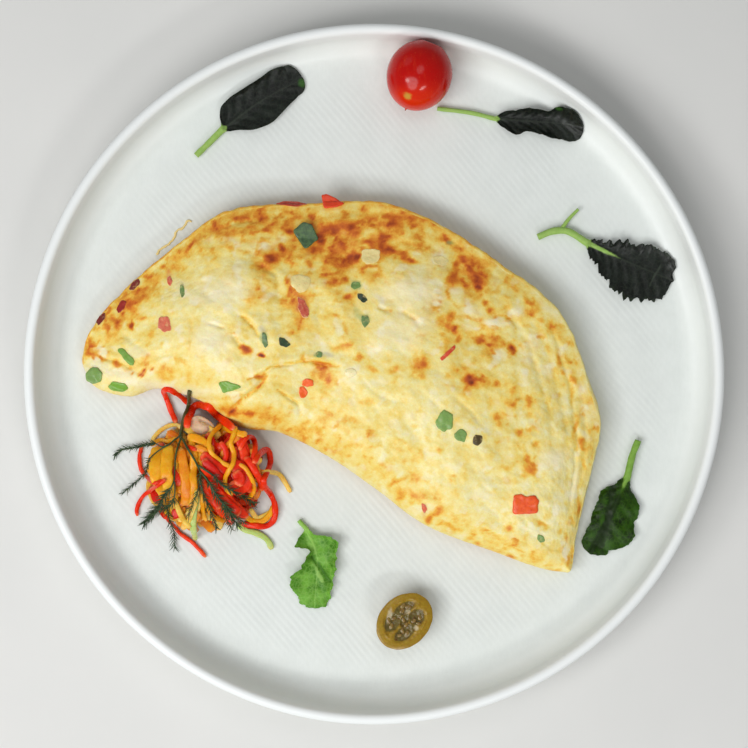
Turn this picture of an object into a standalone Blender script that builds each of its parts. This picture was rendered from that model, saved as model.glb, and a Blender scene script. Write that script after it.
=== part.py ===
"""A folded vegetable omelette on its white plate, with the garnish that lies round it.

Metres, +Z up. The origin is the centre of the plate's underside, where the foot ring stands.
Seen from above, +Y points away from the omelette's concave fold and +X to its narrow end.
"""

import math

import bmesh
import bpy
import numpy as np
from mathutils import Euler, Vector, noise
from mathutils.bvhtree import BVHTree

MM = 0.001

# Plate
PLATE_RADIUS = 135.0 * MM
PLATE_HEIGHT = 22.0 * MM
PLATE_STEPS = 56
LIP_RADIUS = 2.1 * MM
FLOOR_HEIGHT = 6.5 * MM
FLOOR_RADIUS = 120.0 * MM
COVE_RADIUS = 10.0 * MM
SHELL = 4.0 * MM
FOOT_HEIGHT = 2.5 * MM
FOOT_OUTER = 90.0 * MM
FOOT_INNER = 84.0 * MM
FOOT_TAPER = 0.6 * MM

# Gap that pieces keep to the plate and to each other
GAP = 0.3 * MM
LEAF_GAP = 0.6 * MM
REST_HEIGHT = FLOOR_HEIGHT + GAP

# Omelette: plan outlines in millimetres, from the wide end to the narrow end
FOLD_LINE = [
    (-114, 4.5), (-108.5, -5), (-95, -8.7), (-83, -5.7), (-66, -11), (-51.5, -20.6), (-36.5, -22.8),
    (-17, -32.5), (0.5, -44.5), (20.5, -59), (46.5, -69), (64.5, -75.5), (76.7, -77.6),
]
OPEN_LINE = [
    (-114, 4.5), (-110.5, 17), (-98, 32.5), (-76, 51), (-56.5, 64), (-29, 66.5), (2.5, 67), (26, 58.3),
    (49, 43.5), (68, 29.5), (76.5, 17), (84, -4.5), (88.8, -18.8), (84, -34.5), (77, -61), (76.7, -77.6),
]
# Heights above the plate and the reach of the lower sheet past the flap, along the length
STATIONS = [0, 0.06, 0.15, 0.27, 0.36, 0.43, 0.55, 0.68, 0.80, 0.92, 1]
FOLD_HEIGHTS = [4.5, 8, 12, 15, 14, 11.5, 13, 12.5, 11.5, 9, 5.5]
RIDGE_HEIGHTS = [5, 10, 16, 24, 24.5, 20.5, 23, 20, 17.5, 12.5, 6.5]
EDGE_HEIGHTS = [5, 6.5, 8, 9, 9, 9, 9, 8.5, 8, 7, 5.5]
SHEET_REACHES = [0.6, 1.2, 2, 2, 1.5, 1.5, 2, 5, 6, 1.5, 0.8]
SHEET = 2.4 * MM
FOLD_GROOVE = 4.0 * MM
FOLD_POINTS = 6
FOLD_START = -60
FOLD_SHARE = 0.3
DOME_LEAN = 0.85
TOP_POINTS = 16
FLAT_BASE = (0.7, 0.4)
OMELETTE_SECTIONS = 38
OMELETTE_ENDS = 0.012
END_CROWDING = 0.65
# Narrower than this, the sections taper to a thin rounded tip
FULL_WIDTH = 20.0 * MM
# Crease where the tall lobe lies over the low one
CREASE_LINE = [(-53, -20), (-47, -5), (-38, 3), (-17, 7.2)]
CREASE_DEPTH = 2.6 * MM
CREASE_WIDTH = 3.6 * MM
LOBE_RISE = 1.2 * MM
LOBE_WIDTH = 9.0 * MM
LOBE_OFFSET = 0.8
SWELLS = ((21.0 * MM, 1.3 * MM, 3.0), (10.0 * MM, 0.6 * MM, 11.0))

# Pepper dice set in the omelette's top: name, material, place, size and turn
DICE = (
    ("green_pepper_dice", "green_pepper", (-27.4, 52.8), (6.6, 8.8, 4.4), 40),
    ("red_pepper_dice", "red_pepper", (58.8, -50.6), (10.4, 8.2, 4.2), -4),
)
DICE_SINK = 3.4 * MM
DICE_BEVEL = 0.7 * MM

# Tomatoes
BALL_SEGMENTS = 22
BALL_RINGS = 13
TOMATO_CENTRE = (17.4 * MM, 115.0 * MM)
TOMATO_RADIUS = 12.6 * MM
TOMATO_LENGTH = 27.4 * MM
TOMATO_LEAN = math.radians(84)
TOMATO_TURN = math.radians(68)
TOMATO_SWELL = 0.03
TOMATO_LOBES = 0.02
TOMATO_DIMPLE = 0.05
DIMPLE_SHARPNESS = 18
HALF_CENTRE = (11.8 * MM, -95.7 * MM)
HALF_LENGTH = 24.2 * MM
HALF_WIDTH = 19.4 * MM
HALF_DEPTH = 9.6 * MM
HALF_TURN = math.radians(43)
HALF_TILT = math.radians(9)
HALF_ROLL = math.radians(4)
HALF_CUT = 0.08
HALF_RIM = 2.4 * MM
HALF_HOLLOW = 1.4 * MM
HALF_SLOPE = 1.2 * MM
HALF_FLAT = 0.94

# Heap of shredded vegetables
HEAP_CENTRE = (-65.5 * MM, -39.0 * MM)
HEAP_RADIUS = 26.5 * MM
HEAP_HEIGHT = 14.0 * MM
HEAP_PEAK = 1.0 * MM
HEAP_EDGE = 1.2 * MM
HEAP_LUMP = 2.2 * MM
LUMP_SPACING = 9.0 * MM
HEAP_WAVES = ((3, 0.05, 0.6), (5, 0.04, 2.1))
HEAP_RINGS = 9
HEAP_SPOKES = 34
HEAP_CLEARANCE = 1.4 * MM

# Sprig that lies over the heap
SPRIG_RADIUS = 0.75 * MM
TWIG_RADIUS = 0.5 * MM
SPRIG_GAP = 0.5 * MM
SPRIG_FEELER = 1.2 * MM

COLOURS = {
    "white_glaze": ((0.78, 0.80, 0.78, 1.0), 0.28),
    "cooked_egg": ((0.86, 0.66, 0.24, 1.0), 0.5),
    "tomato_skin": ((0.52, 0.02, 0.01, 1.0), 0.14),
    "golden_tomato": ((0.42, 0.26, 0.05, 1.0), 0.22),
    "red_pepper": ((0.74, 0.10, 0.03, 1.0), 0.3),
    "green_pepper": ((0.10, 0.16, 0.05, 1.0), 0.35),
    "dark_leaf": ((0.030, 0.036, 0.026, 1.0), 0.45),
    "green_leaf": ((0.045, 0.085, 0.022, 1.0), 0.42),
    "light_leaf": ((0.13, 0.30, 0.05, 1.0), 0.4),
    "shreds": ((0.78, 0.26, 0.03, 1.0), 0.35),
    "dill": ((0.08, 0.13, 0.06, 1.0), 0.5),
}


def clear_scene():
    for item in list(bpy.data.objects):
        bpy.data.objects.remove(item, do_unlink=True)


def make_collection(name, hidden=False):
    found = bpy.data.collections.new(name)
    bpy.context.scene.collection.children.link(found)
    found.hide_render = hidden
    return found


def make_material(name):
    colour, roughness = COLOURS[name]
    material = bpy.data.materials.new(name)
    material.use_nodes = True
    shader = material.node_tree.nodes["Principled BSDF"]
    shader.inputs["Base Color"].default_value = colour
    shader.inputs["Roughness"].default_value = roughness
    shader.inputs["Metallic"].default_value = 0.0
    return material


def add_object(name, mesh, collection, material=None):
    item = bpy.data.objects.new(name, mesh)
    collection.objects.link(item)
    if material is not None:
        mesh.materials.clear()
        mesh.materials.append(material)
    return item


def mesh_from(name, bm, sharp_angle=math.radians(50)):
    """The bmesh as a smooth-shaded mesh with its faces pointing out."""
    bmesh.ops.recalc_face_normals(bm, faces=bm.faces)
    mesh = bpy.data.meshes.new(name)
    bm.to_mesh(mesh)
    bm.free()
    mesh.shade_smooth()
    mesh.set_sharp_from_angle(angle=sharp_angle)
    return mesh


def smooth_path(points, fractions):
    """Plan positions in metres on a smooth curve through points in millimetres, by share of its length."""
    knots = np.array(points, dtype=float) * MM
    padded = np.vstack([2 * knots[0] - knots[1], knots, 2 * knots[-1] - knots[-2]])
    steps = np.linspace(0, 1, 16, endpoint=False)[:, None]
    run = []
    for a, b, c, d in zip(padded, padded[1:], padded[2:], padded[3:]):
        bend = 2 * a - 5 * b + 4 * c - d
        twist = 3 * b - a - 3 * c + d
        run.append(0.5 * (2 * b + (c - a) * steps + bend * steps**2 + twist * steps**3))
    run = np.vstack(run + [knots[-1:]])
    lengths = np.append(0, np.cumsum(np.linalg.norm(np.diff(run, axis=0), axis=1)))
    at = np.asarray(fractions) * lengths[-1]
    return np.column_stack([np.interp(at, lengths, run[:, 0]), np.interp(at, lengths, run[:, 1])])


def smooth_value(stations, values, at):
    """A value on a smooth curve through the values at the stations."""
    slopes = np.gradient(values, stations)
    place = min(max(int(np.searchsorted(stations, at)) - 1, 0), len(stations) - 2)
    width = stations[place + 1] - stations[place]
    t = (at - stations[place]) / width
    start = (2 * t**3 - 3 * t**2 + 1) * values[place] + (t**3 - 2 * t**2 + t) * width * slopes[place]
    end = (3 * t**2 - 2 * t**3) * values[place + 1] + (t**3 - t**2) * width * slopes[place + 1]
    return start + end


def distance_to_path(x, y, path):
    """Distance to the nearest point of a plan path, the side (1 on its left) and the share along it."""
    gaps = np.hypot(path[:, 0] - x, path[:, 1] - y)
    near = int(np.argmin(gaps))
    ahead = path[min(near + 1, len(path) - 1)] - path[max(near - 1, 0)]
    side = ahead[0] * (y - path[near, 1]) - ahead[1] * (x - path[near, 0])
    return gaps[near], math.copysign(1.0, side), near / (len(path) - 1)


def loft(name, rings):
    """A closed body through rings of equal point counts, with a fan over each end."""
    bm = bmesh.new()
    rows = [[bm.verts.new(point) for point in ring] for ring in rings]
    count = len(rows[0])
    for low, high in zip(rows, rows[1:]):
        for i in range(count):
            j = (i + 1) % count
            bm.faces.new((low[i], low[j], high[j], high[i]))
    for row, flip in ((rows[0], True), (rows[-1], False)):
        middle = bm.verts.new(sum((v.co for v in row), Vector()) / count)
        for i in range(count):
            j = (i + 1) % count
            corner = (row[j], row[i]) if flip else (row[i], row[j])
            bm.faces.new((*corner, middle))
    return mesh_from(name, bm)


def tube(name, points, radii, collection):
    """A round tapered tube on a curve, as a closed mesh object."""
    curve = bpy.data.curves.new(name, "CURVE")
    curve.dimensions = "3D"
    curve.bevel_depth = 1.0
    curve.bevel_resolution = 1
    curve.use_fill_caps = True
    line = curve.splines.new("POLY")
    line.points.add(len(points) - 1)
    for spot, point, radius in zip(line.points, points, radii):
        spot.co = (*point, 1.0)
        spot.radius = radius
    guide = bpy.data.objects.new(name + "_curve", curve)
    collection.objects.link(guide)
    bpy.context.view_layer.update()
    evaluated = guide.evaluated_get(bpy.context.evaluated_depsgraph_get())
    mesh = bpy.data.meshes.new_from_object(evaluated)
    bpy.data.objects.remove(guide, do_unlink=True)
    bm = bmesh.new()
    bm.from_mesh(mesh)
    bmesh.ops.remove_doubles(bm, verts=bm.verts, dist=0.00001)
    bpy.data.meshes.remove(mesh)
    return mesh_from(name, bm)


def join_with(item, mesh, cutters, operation="UNION"):
    """Adds a Boolean with the mesh, kept as a hidden helper."""
    helper = add_object(mesh.name + "_helper", mesh, cutters)
    helper.hide_render = True
    helper.display_type = "WIRE"
    boolean = item.modifiers.new(operation.title(), "BOOLEAN")
    boolean.operation = operation
    boolean.object = helper
    return boolean


# Plate


def arc(centre, radius, start, end, count):
    angles = np.linspace(math.radians(start), math.radians(end), count)
    return [(centre[0] + radius * math.cos(a), centre[1] + radius * math.sin(a)) for a in angles]


def plate_profile():
    """Radius and height from the middle of the floor, over the lip, to the middle of the underside."""
    cove = (FLOOR_RADIUS, FLOOR_HEIGHT + COVE_RADIUS)
    lip = (PLATE_RADIUS - LIP_RADIUS, PLATE_HEIGHT - LIP_RADIUS)
    profile = [(0.0, FLOOR_HEIGHT)]
    profile += arc(cove, COVE_RADIUS, -90, 0, 6)
    profile += arc(lip, LIP_RADIUS, 180, 0, 7)
    profile += arc(cove, COVE_RADIUS + SHELL, 0, -90, 5)
    profile += [(FOOT_OUTER + FOOT_TAPER, FOOT_HEIGHT), (FOOT_OUTER, 0.0)]
    profile += [(FOOT_INNER, 0.0), (FOOT_INNER - FOOT_TAPER, FOOT_HEIGHT), (0.0, FOOT_HEIGHT)]
    return profile


def build_plate(collection):
    mesh = bpy.data.meshes.new("plate")
    points = [(radius, 0.0, height) for radius, height in plate_profile()]
    mesh.from_pydata(points, [(i, i + 1) for i in range(len(points) - 1)], [])
    plate = add_object("plate", mesh, collection, make_material("white_glaze"))
    screw = plate.modifiers.new("Turn", "SCREW")
    screw.axis = "Z"
    screw.steps = PLATE_STEPS
    screw.render_steps = PLATE_STEPS
    screw.use_merge_vertices = True
    screw.merge_threshold = 0.00001
    screw.use_smooth_shade = True
    return plate


def on_plate(x, y, height):
    """A point this high off the plate's inner face, where a thin thing laid at plan x, y would lie."""
    reach = math.hypot(x, y)
    if reach <= FLOOR_RADIUS:
        return Vector((x, y, FLOOR_HEIGHT + height))
    bend = min((reach - FLOOR_RADIUS) / COVE_RADIUS, math.pi / 2)
    radius = FLOOR_RADIUS + (COVE_RADIUS - height) * math.sin(bend)
    z = FLOOR_HEIGHT + COVE_RADIUS - (COVE_RADIUS - height) * math.cos(bend)
    return Vector((x * radius / reach, y * radius / reach, z))


# Omelette


def top_relief(x, y, crease):
    """Height that the crease between the lobes and the soft swells add to the omelette's top."""
    gap, side, share = distance_to_path(x, y, crease)
    fade = 1 - share**3
    relief = -CREASE_DEPTH * fade * math.exp(-((gap / CREASE_WIDTH) ** 2))
    if side > 0:
        relief += LOBE_RISE * fade * math.exp(-((gap / LOBE_WIDTH - LOBE_OFFSET) ** 2) * 2)
    for size, height, seed in SWELLS:
        relief += height * noise.noise(Vector((x / size, y / size, seed)))
    return relief


def omelette_section(fold, opening, share, crease):
    """One closed section: the rounded fold, the domed top, the two sheet edges and the flat underside."""
    width = float(np.hypot(*(opening - fold)))
    slim = min(width / FULL_WIDTH, 1.0)
    fold_height = smooth_value(STATIONS, FOLD_HEIGHTS, share) * MM
    ridge = smooth_value(STATIONS, RIDGE_HEIGHTS, share) * MM
    edge = smooth_value(STATIONS, EDGE_HEIGHTS, share) * MM
    reach = smooth_value(STATIONS, SHEET_REACHES, share) * MM * slim
    groove = FOLD_GROOVE * slim
    radius = min(fold_height / 2, width * FOLD_SHARE)
    flap = width - reach - SHEET / 2 * slim
    outline = []
    for angle in np.radians(np.linspace(FOLD_START, 90, FOLD_POINTS)):
        outline.append((radius - radius * math.cos(angle), fold_height / 2 * (1 + math.sin(angle)), 0.0))
    for step in np.linspace(0, 1, TOP_POINTS + 1)[1:]:
        level = fold_height + (edge - fold_height) * step
        dome = (ridge - max(fold_height, edge)) * math.sin(math.pi * step**DOME_LEAN)
        rounding = min(step / 0.15, (1 - step) / 0.1, 1.0)
        outline.append((radius + (flap - radius) * step, level + dome, rounding))
    outline.append((flap + SHEET / 2 * slim, edge - SHEET * 0.45, 0.0))
    outline.append((flap - SHEET * 0.2 * slim, edge - SHEET * 0.95, 0.0))
    outline.append((flap - groove, (edge + SHEET) * 0.5 + 0.2 * MM, 0.0))
    outline.append((flap - groove, (edge + SHEET) * 0.5 - 0.4 * MM, 0.0))
    outline.append((width - SHEET * 0.5 * slim, SHEET * 0.9, 0.0))
    outline.append((width, SHEET * 0.45, 0.0))
    outline.append((width - SHEET * 0.5 * slim, 0.0, 0.0))
    for step in FLAT_BASE:
        outline.append((radius + (width - radius) * step, 0.0, 0.0))
    outline.append((radius, 0.0, 0.0))
    across = (opening - fold) / width
    ring = []
    for along, height, rounding in outline:
        x, y = fold + across * along
        if rounding > 0:
            height += top_relief(x, y, crease) * rounding * slim
        ring.append(Vector((x, y, REST_HEIGHT + height)))
    return ring


def build_omelette(collection):
    even = np.linspace(0, 1, OMELETTE_SECTIONS)
    crowded = 0.5 - 0.5 * np.cos(np.pi * even)
    mixed = END_CROWDING * crowded + (1 - END_CROWDING) * even
    shares = OMELETTE_ENDS + (1 - 2 * OMELETTE_ENDS) * mixed
    folds = smooth_path(FOLD_LINE, shares)
    openings = smooth_path(OPEN_LINE, shares)
    crease = smooth_path(CREASE_LINE, np.linspace(0, 1, 60))
    rings = []
    for fold, opening, share in zip(folds, openings, shares):
        rings.append(omelette_section(fold, opening, share, crease))
    return add_object("omelette", loft("omelette", rings), collection, make_material("cooked_egg"))


def height_at(tree, x, y):
    """Height of the top of a mesh over a plan point, or None beside it."""
    hit = tree.ray_cast(Vector((x, y, 1.0)), Vector((0, 0, -1)))[0]
    return None if hit is None else hit.z


def mesh_tree(item):
    bm = bmesh.new()
    bm.from_mesh(item.data)
    tree = BVHTree.FromBMesh(bm)
    bm.free()
    return tree


def build_dice(name, material, place, size, turn, omelette, tree, parts, cutters):
    """A pepper dice in a pocket of the omelette, tilted with the surface and a little proud of it."""
    x, y = Vector(place) * MM
    size = Vector(size) * MM
    normal = tree.ray_cast(Vector((x, y, 1.0)), Vector((0, 0, -1)))[1]
    tilt = Vector((0, 0, 1)).rotation_difference(normal).to_euler()
    rotation = (tilt.to_matrix() @ Euler((0, 0, math.radians(turn))).to_matrix()).to_euler()
    centre = Vector((x, y, height_at(tree, x, y))) - normal * (DICE_SINK - size[2] / 2)
    bm = bmesh.new()
    bmesh.ops.create_cube(bm, size=1.0)
    bmesh.ops.scale(bm, vec=size, verts=bm.verts)
    bmesh.ops.bevel(bm, geom=bm.edges[:], offset=DICE_BEVEL, segments=1, affect="EDGES")
    dice = add_object(name, mesh_from(name, bm, math.radians(25)), parts, make_material(material))
    dice.location = centre
    dice.rotation_euler = rotation
    bm = bmesh.new()
    bmesh.ops.create_cube(bm, size=1.0)
    room = [side + 2 * GAP for side in size]
    bmesh.ops.scale(bm, vec=(room[0], room[1], room[2] * 2), verts=bm.verts)
    bmesh.ops.translate(bm, vec=(0, 0, room[2] / 2), verts=bm.verts)
    boolean = join_with(omelette, mesh_from(name + "_pocket", bm), cutters, "DIFFERENCE")
    boolean.object.location = centre
    boolean.object.rotation_euler = rotation
    return dice


# Tomatoes


def build_tomato(collection):
    bm = bmesh.new()
    bmesh.ops.create_uvsphere(bm, u_segments=BALL_SEGMENTS, v_segments=BALL_RINGS, radius=1.0)
    for vert in bm.verts:
        ends = abs(vert.co.z) ** 6
        lobes = TOMATO_LOBES * math.cos(3 * math.atan2(vert.co.y, vert.co.x)) * ends
        waist = 1 + TOMATO_SWELL * vert.co.z - lobes
        vert.co.x *= TOMATO_RADIUS * waist
        vert.co.y *= TOMATO_RADIUS * waist
        dimple = TOMATO_DIMPLE * math.exp(-((1 - vert.co.z) * DIMPLE_SHARPNESS) ** 2)
        vert.co.z *= TOMATO_LENGTH / 2 * (1 - dimple)
    tomato = add_object("tomato", mesh_from("tomato", bm), collection, make_material("tomato_skin"))
    tomato.rotation_euler = Euler((0, TOMATO_LEAN, TOMATO_TURN))
    tomato.location = (*TOMATO_CENTRE, REST_HEIGHT + TOMATO_RADIUS * (1 + TOMATO_SWELL))
    return tomato


def build_tomato_half(collection):
    bm = bmesh.new()
    bmesh.ops.create_uvsphere(bm, u_segments=BALL_SEGMENTS, v_segments=BALL_RINGS, radius=1.0)
    cut = bmesh.ops.bisect_plane(
        bm, geom=bm.verts[:] + bm.edges[:] + bm.faces[:], plane_co=(0, 0, HALF_CUT), plane_no=(0, 0, 1),
        clear_outer=True,
    )
    edges = [part for part in cut["geom_cut"] if isinstance(part, bmesh.types.BMEdge)]
    face = bmesh.ops.contextual_create(bm, geom=edges)["faces"][0]
    bmesh.ops.scale(bm, vec=(HALF_LENGTH / 2, HALF_WIDTH / 2, HALF_DEPTH), verts=bm.verts)
    bmesh.ops.inset_region(bm, faces=[face], thickness=HALF_RIM, depth=0)
    bmesh.ops.inset_region(bm, faces=[face], thickness=HALF_SLOPE, depth=-HALF_HOLLOW)
    for vert in bm.verts:
        vert.co.z = max(vert.co.z, -HALF_FLAT * HALF_DEPTH)
    bmesh.ops.dissolve_degenerate(bm, dist=0.000001, edges=bm.edges)
    half = add_object(
        "tomato_half", mesh_from("tomato_half", bm), collection, make_material("golden_tomato")
    )
    half.rotation_euler = (HALF_ROLL, HALF_TILT, HALF_TURN)
    bpy.context.view_layer.update()
    lowest = min((half.matrix_world @ vert.co).z for vert in half.data.vertices)
    half.location = (*HALF_CENTRE, REST_HEIGHT - lowest)
    return half


# Leaves: each is one loft from the stem's cut end to the blade's tip

LEAVES = {
    "leaf_top_left": {
        "material": "dark_leaf",
        "stem": [(-69.5, 85.3), (-64.2, 90.5), (-59.5, 95.2)],
        "blade": [(-59.5, 95.2), (-44.2, 106.6), (-27.6, 115.4)],
        "left": [1.2, 7.8, 9.6, 10.4, 10.9, 11.3, 10.9, 8.6, 1.2],
        "right": [1.2, 3.4, 6.6, 7.9, 7.8, 6.6, 5.2, 4, 1.2],
        "stem_radius": 1.3,
        "cup": 2.2,
        "wave": (0.5, 2.0),
    },
    "leaf_top_right": {
        "material": "dark_leaf",
        "stem": [(24.7, 103.7), (37.6, 102.1), (46.9, 99.8)],
        "blade": [(46.9, 99.8), (64, 98.6), (82.6, 97.6)],
        "left": [0.9, 3, 3.9, 4.8, 5.5, 5.8, 9.4, 8, 1.4],
        "right": [0.9, 4, 6, 4.2, 5.1, 6.3, 6.8, 6.7, 1.6],
        "stem_radius": 0.9,
        "cup": 2.6,
        "wave": (0.8, 2.5),
    },
    "leaf_right": {
        "material": "dark_leaf",
        "stem": [(64, 53.5), (70, 55.8), (76, 55.6), (82.9, 51.4)],
        "blade": [(82.9, 51.4), (100, 43.5), (116.5, 36.6)],
        "left": [1.5, 3.3, 4.3, 7, 7, 9.4, 9.5, 9, 2.4],
        "right": [1.5, 5.5, 7.8, 10.9, 12.8, 13.5, 12.1, 10.1, 2.4],
        "stem_radius": 1.4,
        "cup": 1.6,
        "wave": (0.8, 3.0),
    },
    "leaf_lower_right": {
        "material": "green_leaf",
        "stem": [(103.2, -25.9), (100.9, -31.8), (99, -40)],
        "blade": [(99, -40), (92, -55.5), (84.4, -70)],
        "left": [1.4, 3.6, 8.4, 8.2, 10.8, 11.6, 12.3, 7.3, 1.3],
        "right": [1.4, 3.9, 7.2, 7, 6.6, 6, 5.8, 4.8, 1.3],
        "stem_radius": 1.4,
        "cup": -2.4,
        "wave": (1.0, 3.5),
    },
    "lettuce_leaf": {
        "material": "light_leaf",
        "stem": [(-29.4, -57.2), (-28.2, -58.6), (-26.5, -60.4)],
        "blade": [(-26.5, -60.4), (-22.2, -72), (-23.4, -91.6)],
        "left": [1.2, 3.6, 9.6, 8.2, 7, 6.4, 6.2, 5.6, 1.4],
        "right": [1.4, 6.6, 2.6, 4.4, 6.4, 10.1, 10.1, 6.6, 1.4],
        "stem_radius": 0.9,
        "cup": 2.4,
        "wave": (1.3, 4.0),
    },
}
LEAF_STATIONS = np.linspace(0, 1, 9)
STEM_STEPS = 5
BLADE_STEPS = 16
LEAF_SIDES = (-1.0, -0.6, -0.2, 0.2, 0.6, 1.0)
BLADE_THICKNESS = 0.9 * MM
STEM_TAPER = 2.2
CURL_START = 0.12
WAVE_LAG = 1.5
EDGE_THINNING = 0.6
SIDE_STALK = [(72.5, 55.6), (76, 60.4), (79.8, 64.4)]
SIDE_STALK_RADIUS = 0.75 * MM
SIDE_STALK_TAPER = 0.7


def leaf_lift(shape, share, side):
    """Height of the blade's curl off the plate: a cup or an arch across, and waves along the edges."""
    size, turns = shape["wave"]
    cup = shape["cup"] * MM
    across = cup * side**2 if cup > 0 else -cup * (1 - side**2)
    waves = size * MM * abs(side) ** 3 * (1 + math.sin(turns * 2 * math.pi * share + WAVE_LAG * side))
    return (across + waves) * math.sin(math.pi * min(share + CURL_START, 1.0)) ** 0.7


def leaf_rings(shape):
    stem = smooth_path(shape["stem"], np.linspace(0, 1, STEM_STEPS + 1)[:-1])
    blade_shares = np.linspace(0, 1, BLADE_STEPS)
    blade = smooth_path(shape["blade"], blade_shares)
    line = np.vstack([stem, blade])
    ahead = np.gradient(line, axis=0)
    radius = shape["stem_radius"] * MM
    rings = []
    for i, (middle, step) in enumerate(zip(line, ahead)):
        share = blade_shares[max(i - STEM_STEPS, 0)]
        left = radius
        right = radius
        thickness = radius * 2
        if i > STEM_STEPS:
            left = smooth_value(LEAF_STATIONS, shape["left"], share) * MM
            right = smooth_value(LEAF_STATIONS, shape["right"], share) * MM
            thickness = max(BLADE_THICKNESS, radius * 2 * (1 - share * STEM_TAPER))
        normal = np.array([-step[1], step[0]]) / np.hypot(*step)
        upper = []
        lower = []
        for side in LEAF_SIDES:
            x, y = middle + normal * side * (left if side > 0 else right)
            base = LEAF_GAP
            if i > STEM_STEPS:
                base += leaf_lift(shape, share, side)
            thick = thickness * (1 - EDGE_THINNING * abs(side) ** 3)
            rise = (thickness - thick) / 2
            upper.append(on_plate(x, y, base + rise + thick))
            lower.append(on_plate(x, y, base + rise))
        rings.append(upper + lower[::-1])
    return rings


def build_leaves(parts, cutters):
    for name, shape in LEAVES.items():
        leaf = add_object(name, loft(name, leaf_rings(shape)), parts, make_material(shape["material"]))
        if name != "leaf_right":
            continue
        path = smooth_path(SIDE_STALK, np.linspace(0, 1, 5))
        stalk_height = LEAF_GAP + SIDE_STALK_RADIUS * 1.2
        points = [on_plate(x, y, stalk_height) for x, y in path]
        radii = np.linspace(SIDE_STALK_RADIUS, SIDE_STALK_RADIUS * SIDE_STALK_TAPER, len(points))
        join_with(leaf, tube("side_stalk", points, radii, cutters), cutters)


# Heap of shredded vegetables, and the sprig over it


def heap_reach(angle, fold):
    """Radius of the heap's uneven foot, kept clear of the omelette's fold."""
    uneven = 1 + sum(size * math.cos(waves * angle + start) for waves, size, start in HEAP_WAVES)
    step = 0.2 * MM
    reach = HEAP_RADIUS / 3
    while reach < HEAP_RADIUS * uneven:
        x = HEAP_CENTRE[0] + (reach + step) * math.cos(angle)
        y = HEAP_CENTRE[1] + (reach + step) * math.sin(angle)
        if distance_to_path(x, y, fold)[0] < HEAP_CLEARANCE:
            break
        reach += step
    return reach


def build_heap(collection):
    fold = smooth_path(FOLD_LINE, np.linspace(0, 1, 200))
    bm = bmesh.new()
    angles = np.linspace(0, 2 * math.pi, HEAP_SPOKES, endpoint=False)
    reaches = [heap_reach(angle, fold) for angle in angles]
    rows = []
    for ring in range(1, HEAP_RINGS + 1):
        share = ring / HEAP_RINGS
        row = []
        for angle, reach in zip(angles, reaches):
            x = HEAP_CENTRE[0] + reach * share * math.cos(angle)
            y = HEAP_CENTRE[1] + reach * share * math.sin(angle)
            dome = HEAP_HEIGHT * (1 - share**2.6) ** 0.75
            lumps = noise.noise(Vector((x / LUMP_SPACING, y / LUMP_SPACING, 5.0))) * (1 - share**4)
            height = HEAP_EDGE + max(dome + HEAP_LUMP * lumps, 0)
            row.append(bm.verts.new((x, y, REST_HEIGHT + height)))
        rows.append(row)
    top = bm.verts.new((*HEAP_CENTRE, REST_HEIGHT + HEAP_HEIGHT + HEAP_PEAK))
    foot = [bm.verts.new((vert.co.x, vert.co.y, REST_HEIGHT)) for vert in rows[-1]]
    base = bm.verts.new((*HEAP_CENTRE, REST_HEIGHT))
    rows.append(foot)
    for i in range(HEAP_SPOKES):
        j = (i + 1) % HEAP_SPOKES
        bm.faces.new((top, rows[0][i], rows[0][j]))
        bm.faces.new((base, foot[j], foot[i]))
        for inner, outer in zip(rows, rows[1:]):
            bm.faces.new((inner[i], outer[i], outer[j], inner[j]))
    return add_object(
        "shredded_vegetables", mesh_from("shredded_vegetables", bm), collection, make_material("shreds")
    )


SPRIG_STEM = [(-71.6, -14.5), (-73.2, -22), (-74.4, -29), (-71.5, -40), (-68.5, -54)]
SPRIG_TWIGS = [
    [(-73.6, -24), (-83, -27.5), (-97, -30.5)],
    [(-74.4, -29), (-83, -36), (-96, -44)],
    [(-74, -32), (-80, -43), (-86, -55)],
    [(-72.6, -36), (-63, -47), (-57, -60)],
    [(-73.6, -26), (-63, -35), (-48, -50)],
]


def sprig_points(path, radius, tree, count):
    """Points of a twig that rests on the heap with a small gap."""
    points = []
    for x, y in smooth_path(path, np.linspace(0, 1, count)):
        levels = [REST_HEIGHT]
        for dx in (-SPRIG_FEELER, 0, SPRIG_FEELER):
            for dy in (-SPRIG_FEELER, 0, SPRIG_FEELER):
                levels.append(height_at(tree, x + dx, y + dy) or REST_HEIGHT)
        points.append(Vector((x, y, max(levels) + SPRIG_GAP + radius)))
    return points


def build_sprig(heap, parts, cutters):
    tree = mesh_tree(heap)
    points = sprig_points(SPRIG_STEM, SPRIG_RADIUS, tree, 12)
    radii = np.linspace(SPRIG_RADIUS, SPRIG_RADIUS * 0.75, len(points))
    mesh = tube("dill_sprig", points, radii, cutters)
    sprig = add_object("dill_sprig", mesh, parts, make_material("dill"))
    for number, path in enumerate(SPRIG_TWIGS, 1):
        points = sprig_points(path, TWIG_RADIUS, tree, 8)
        radii = np.linspace(TWIG_RADIUS, TWIG_RADIUS * 0.8, len(points))
        join_with(sprig, tube(f"twig_{number}", points, radii, cutters), cutters)
    return sprig


def main():
    clear_scene()
    parts = make_collection("folded_omelette_plate")
    cutters = make_collection("cutters", hidden=True)
    build_plate(parts)
    omelette = build_omelette(parts)
    tree = mesh_tree(omelette)
    for dice in DICE:
        build_dice(*dice, omelette, tree, parts, cutters)
    build_tomato(parts)
    build_tomato_half(parts)
    build_leaves(parts, cutters)
    heap = build_heap(parts)
    build_sprig(heap, parts, cutters)


main()
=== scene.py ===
import math

import bmesh
import bpy
import numpy as np
from mathutils import Matrix, Vector
from mathutils.bvhtree import BVHTree


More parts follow.
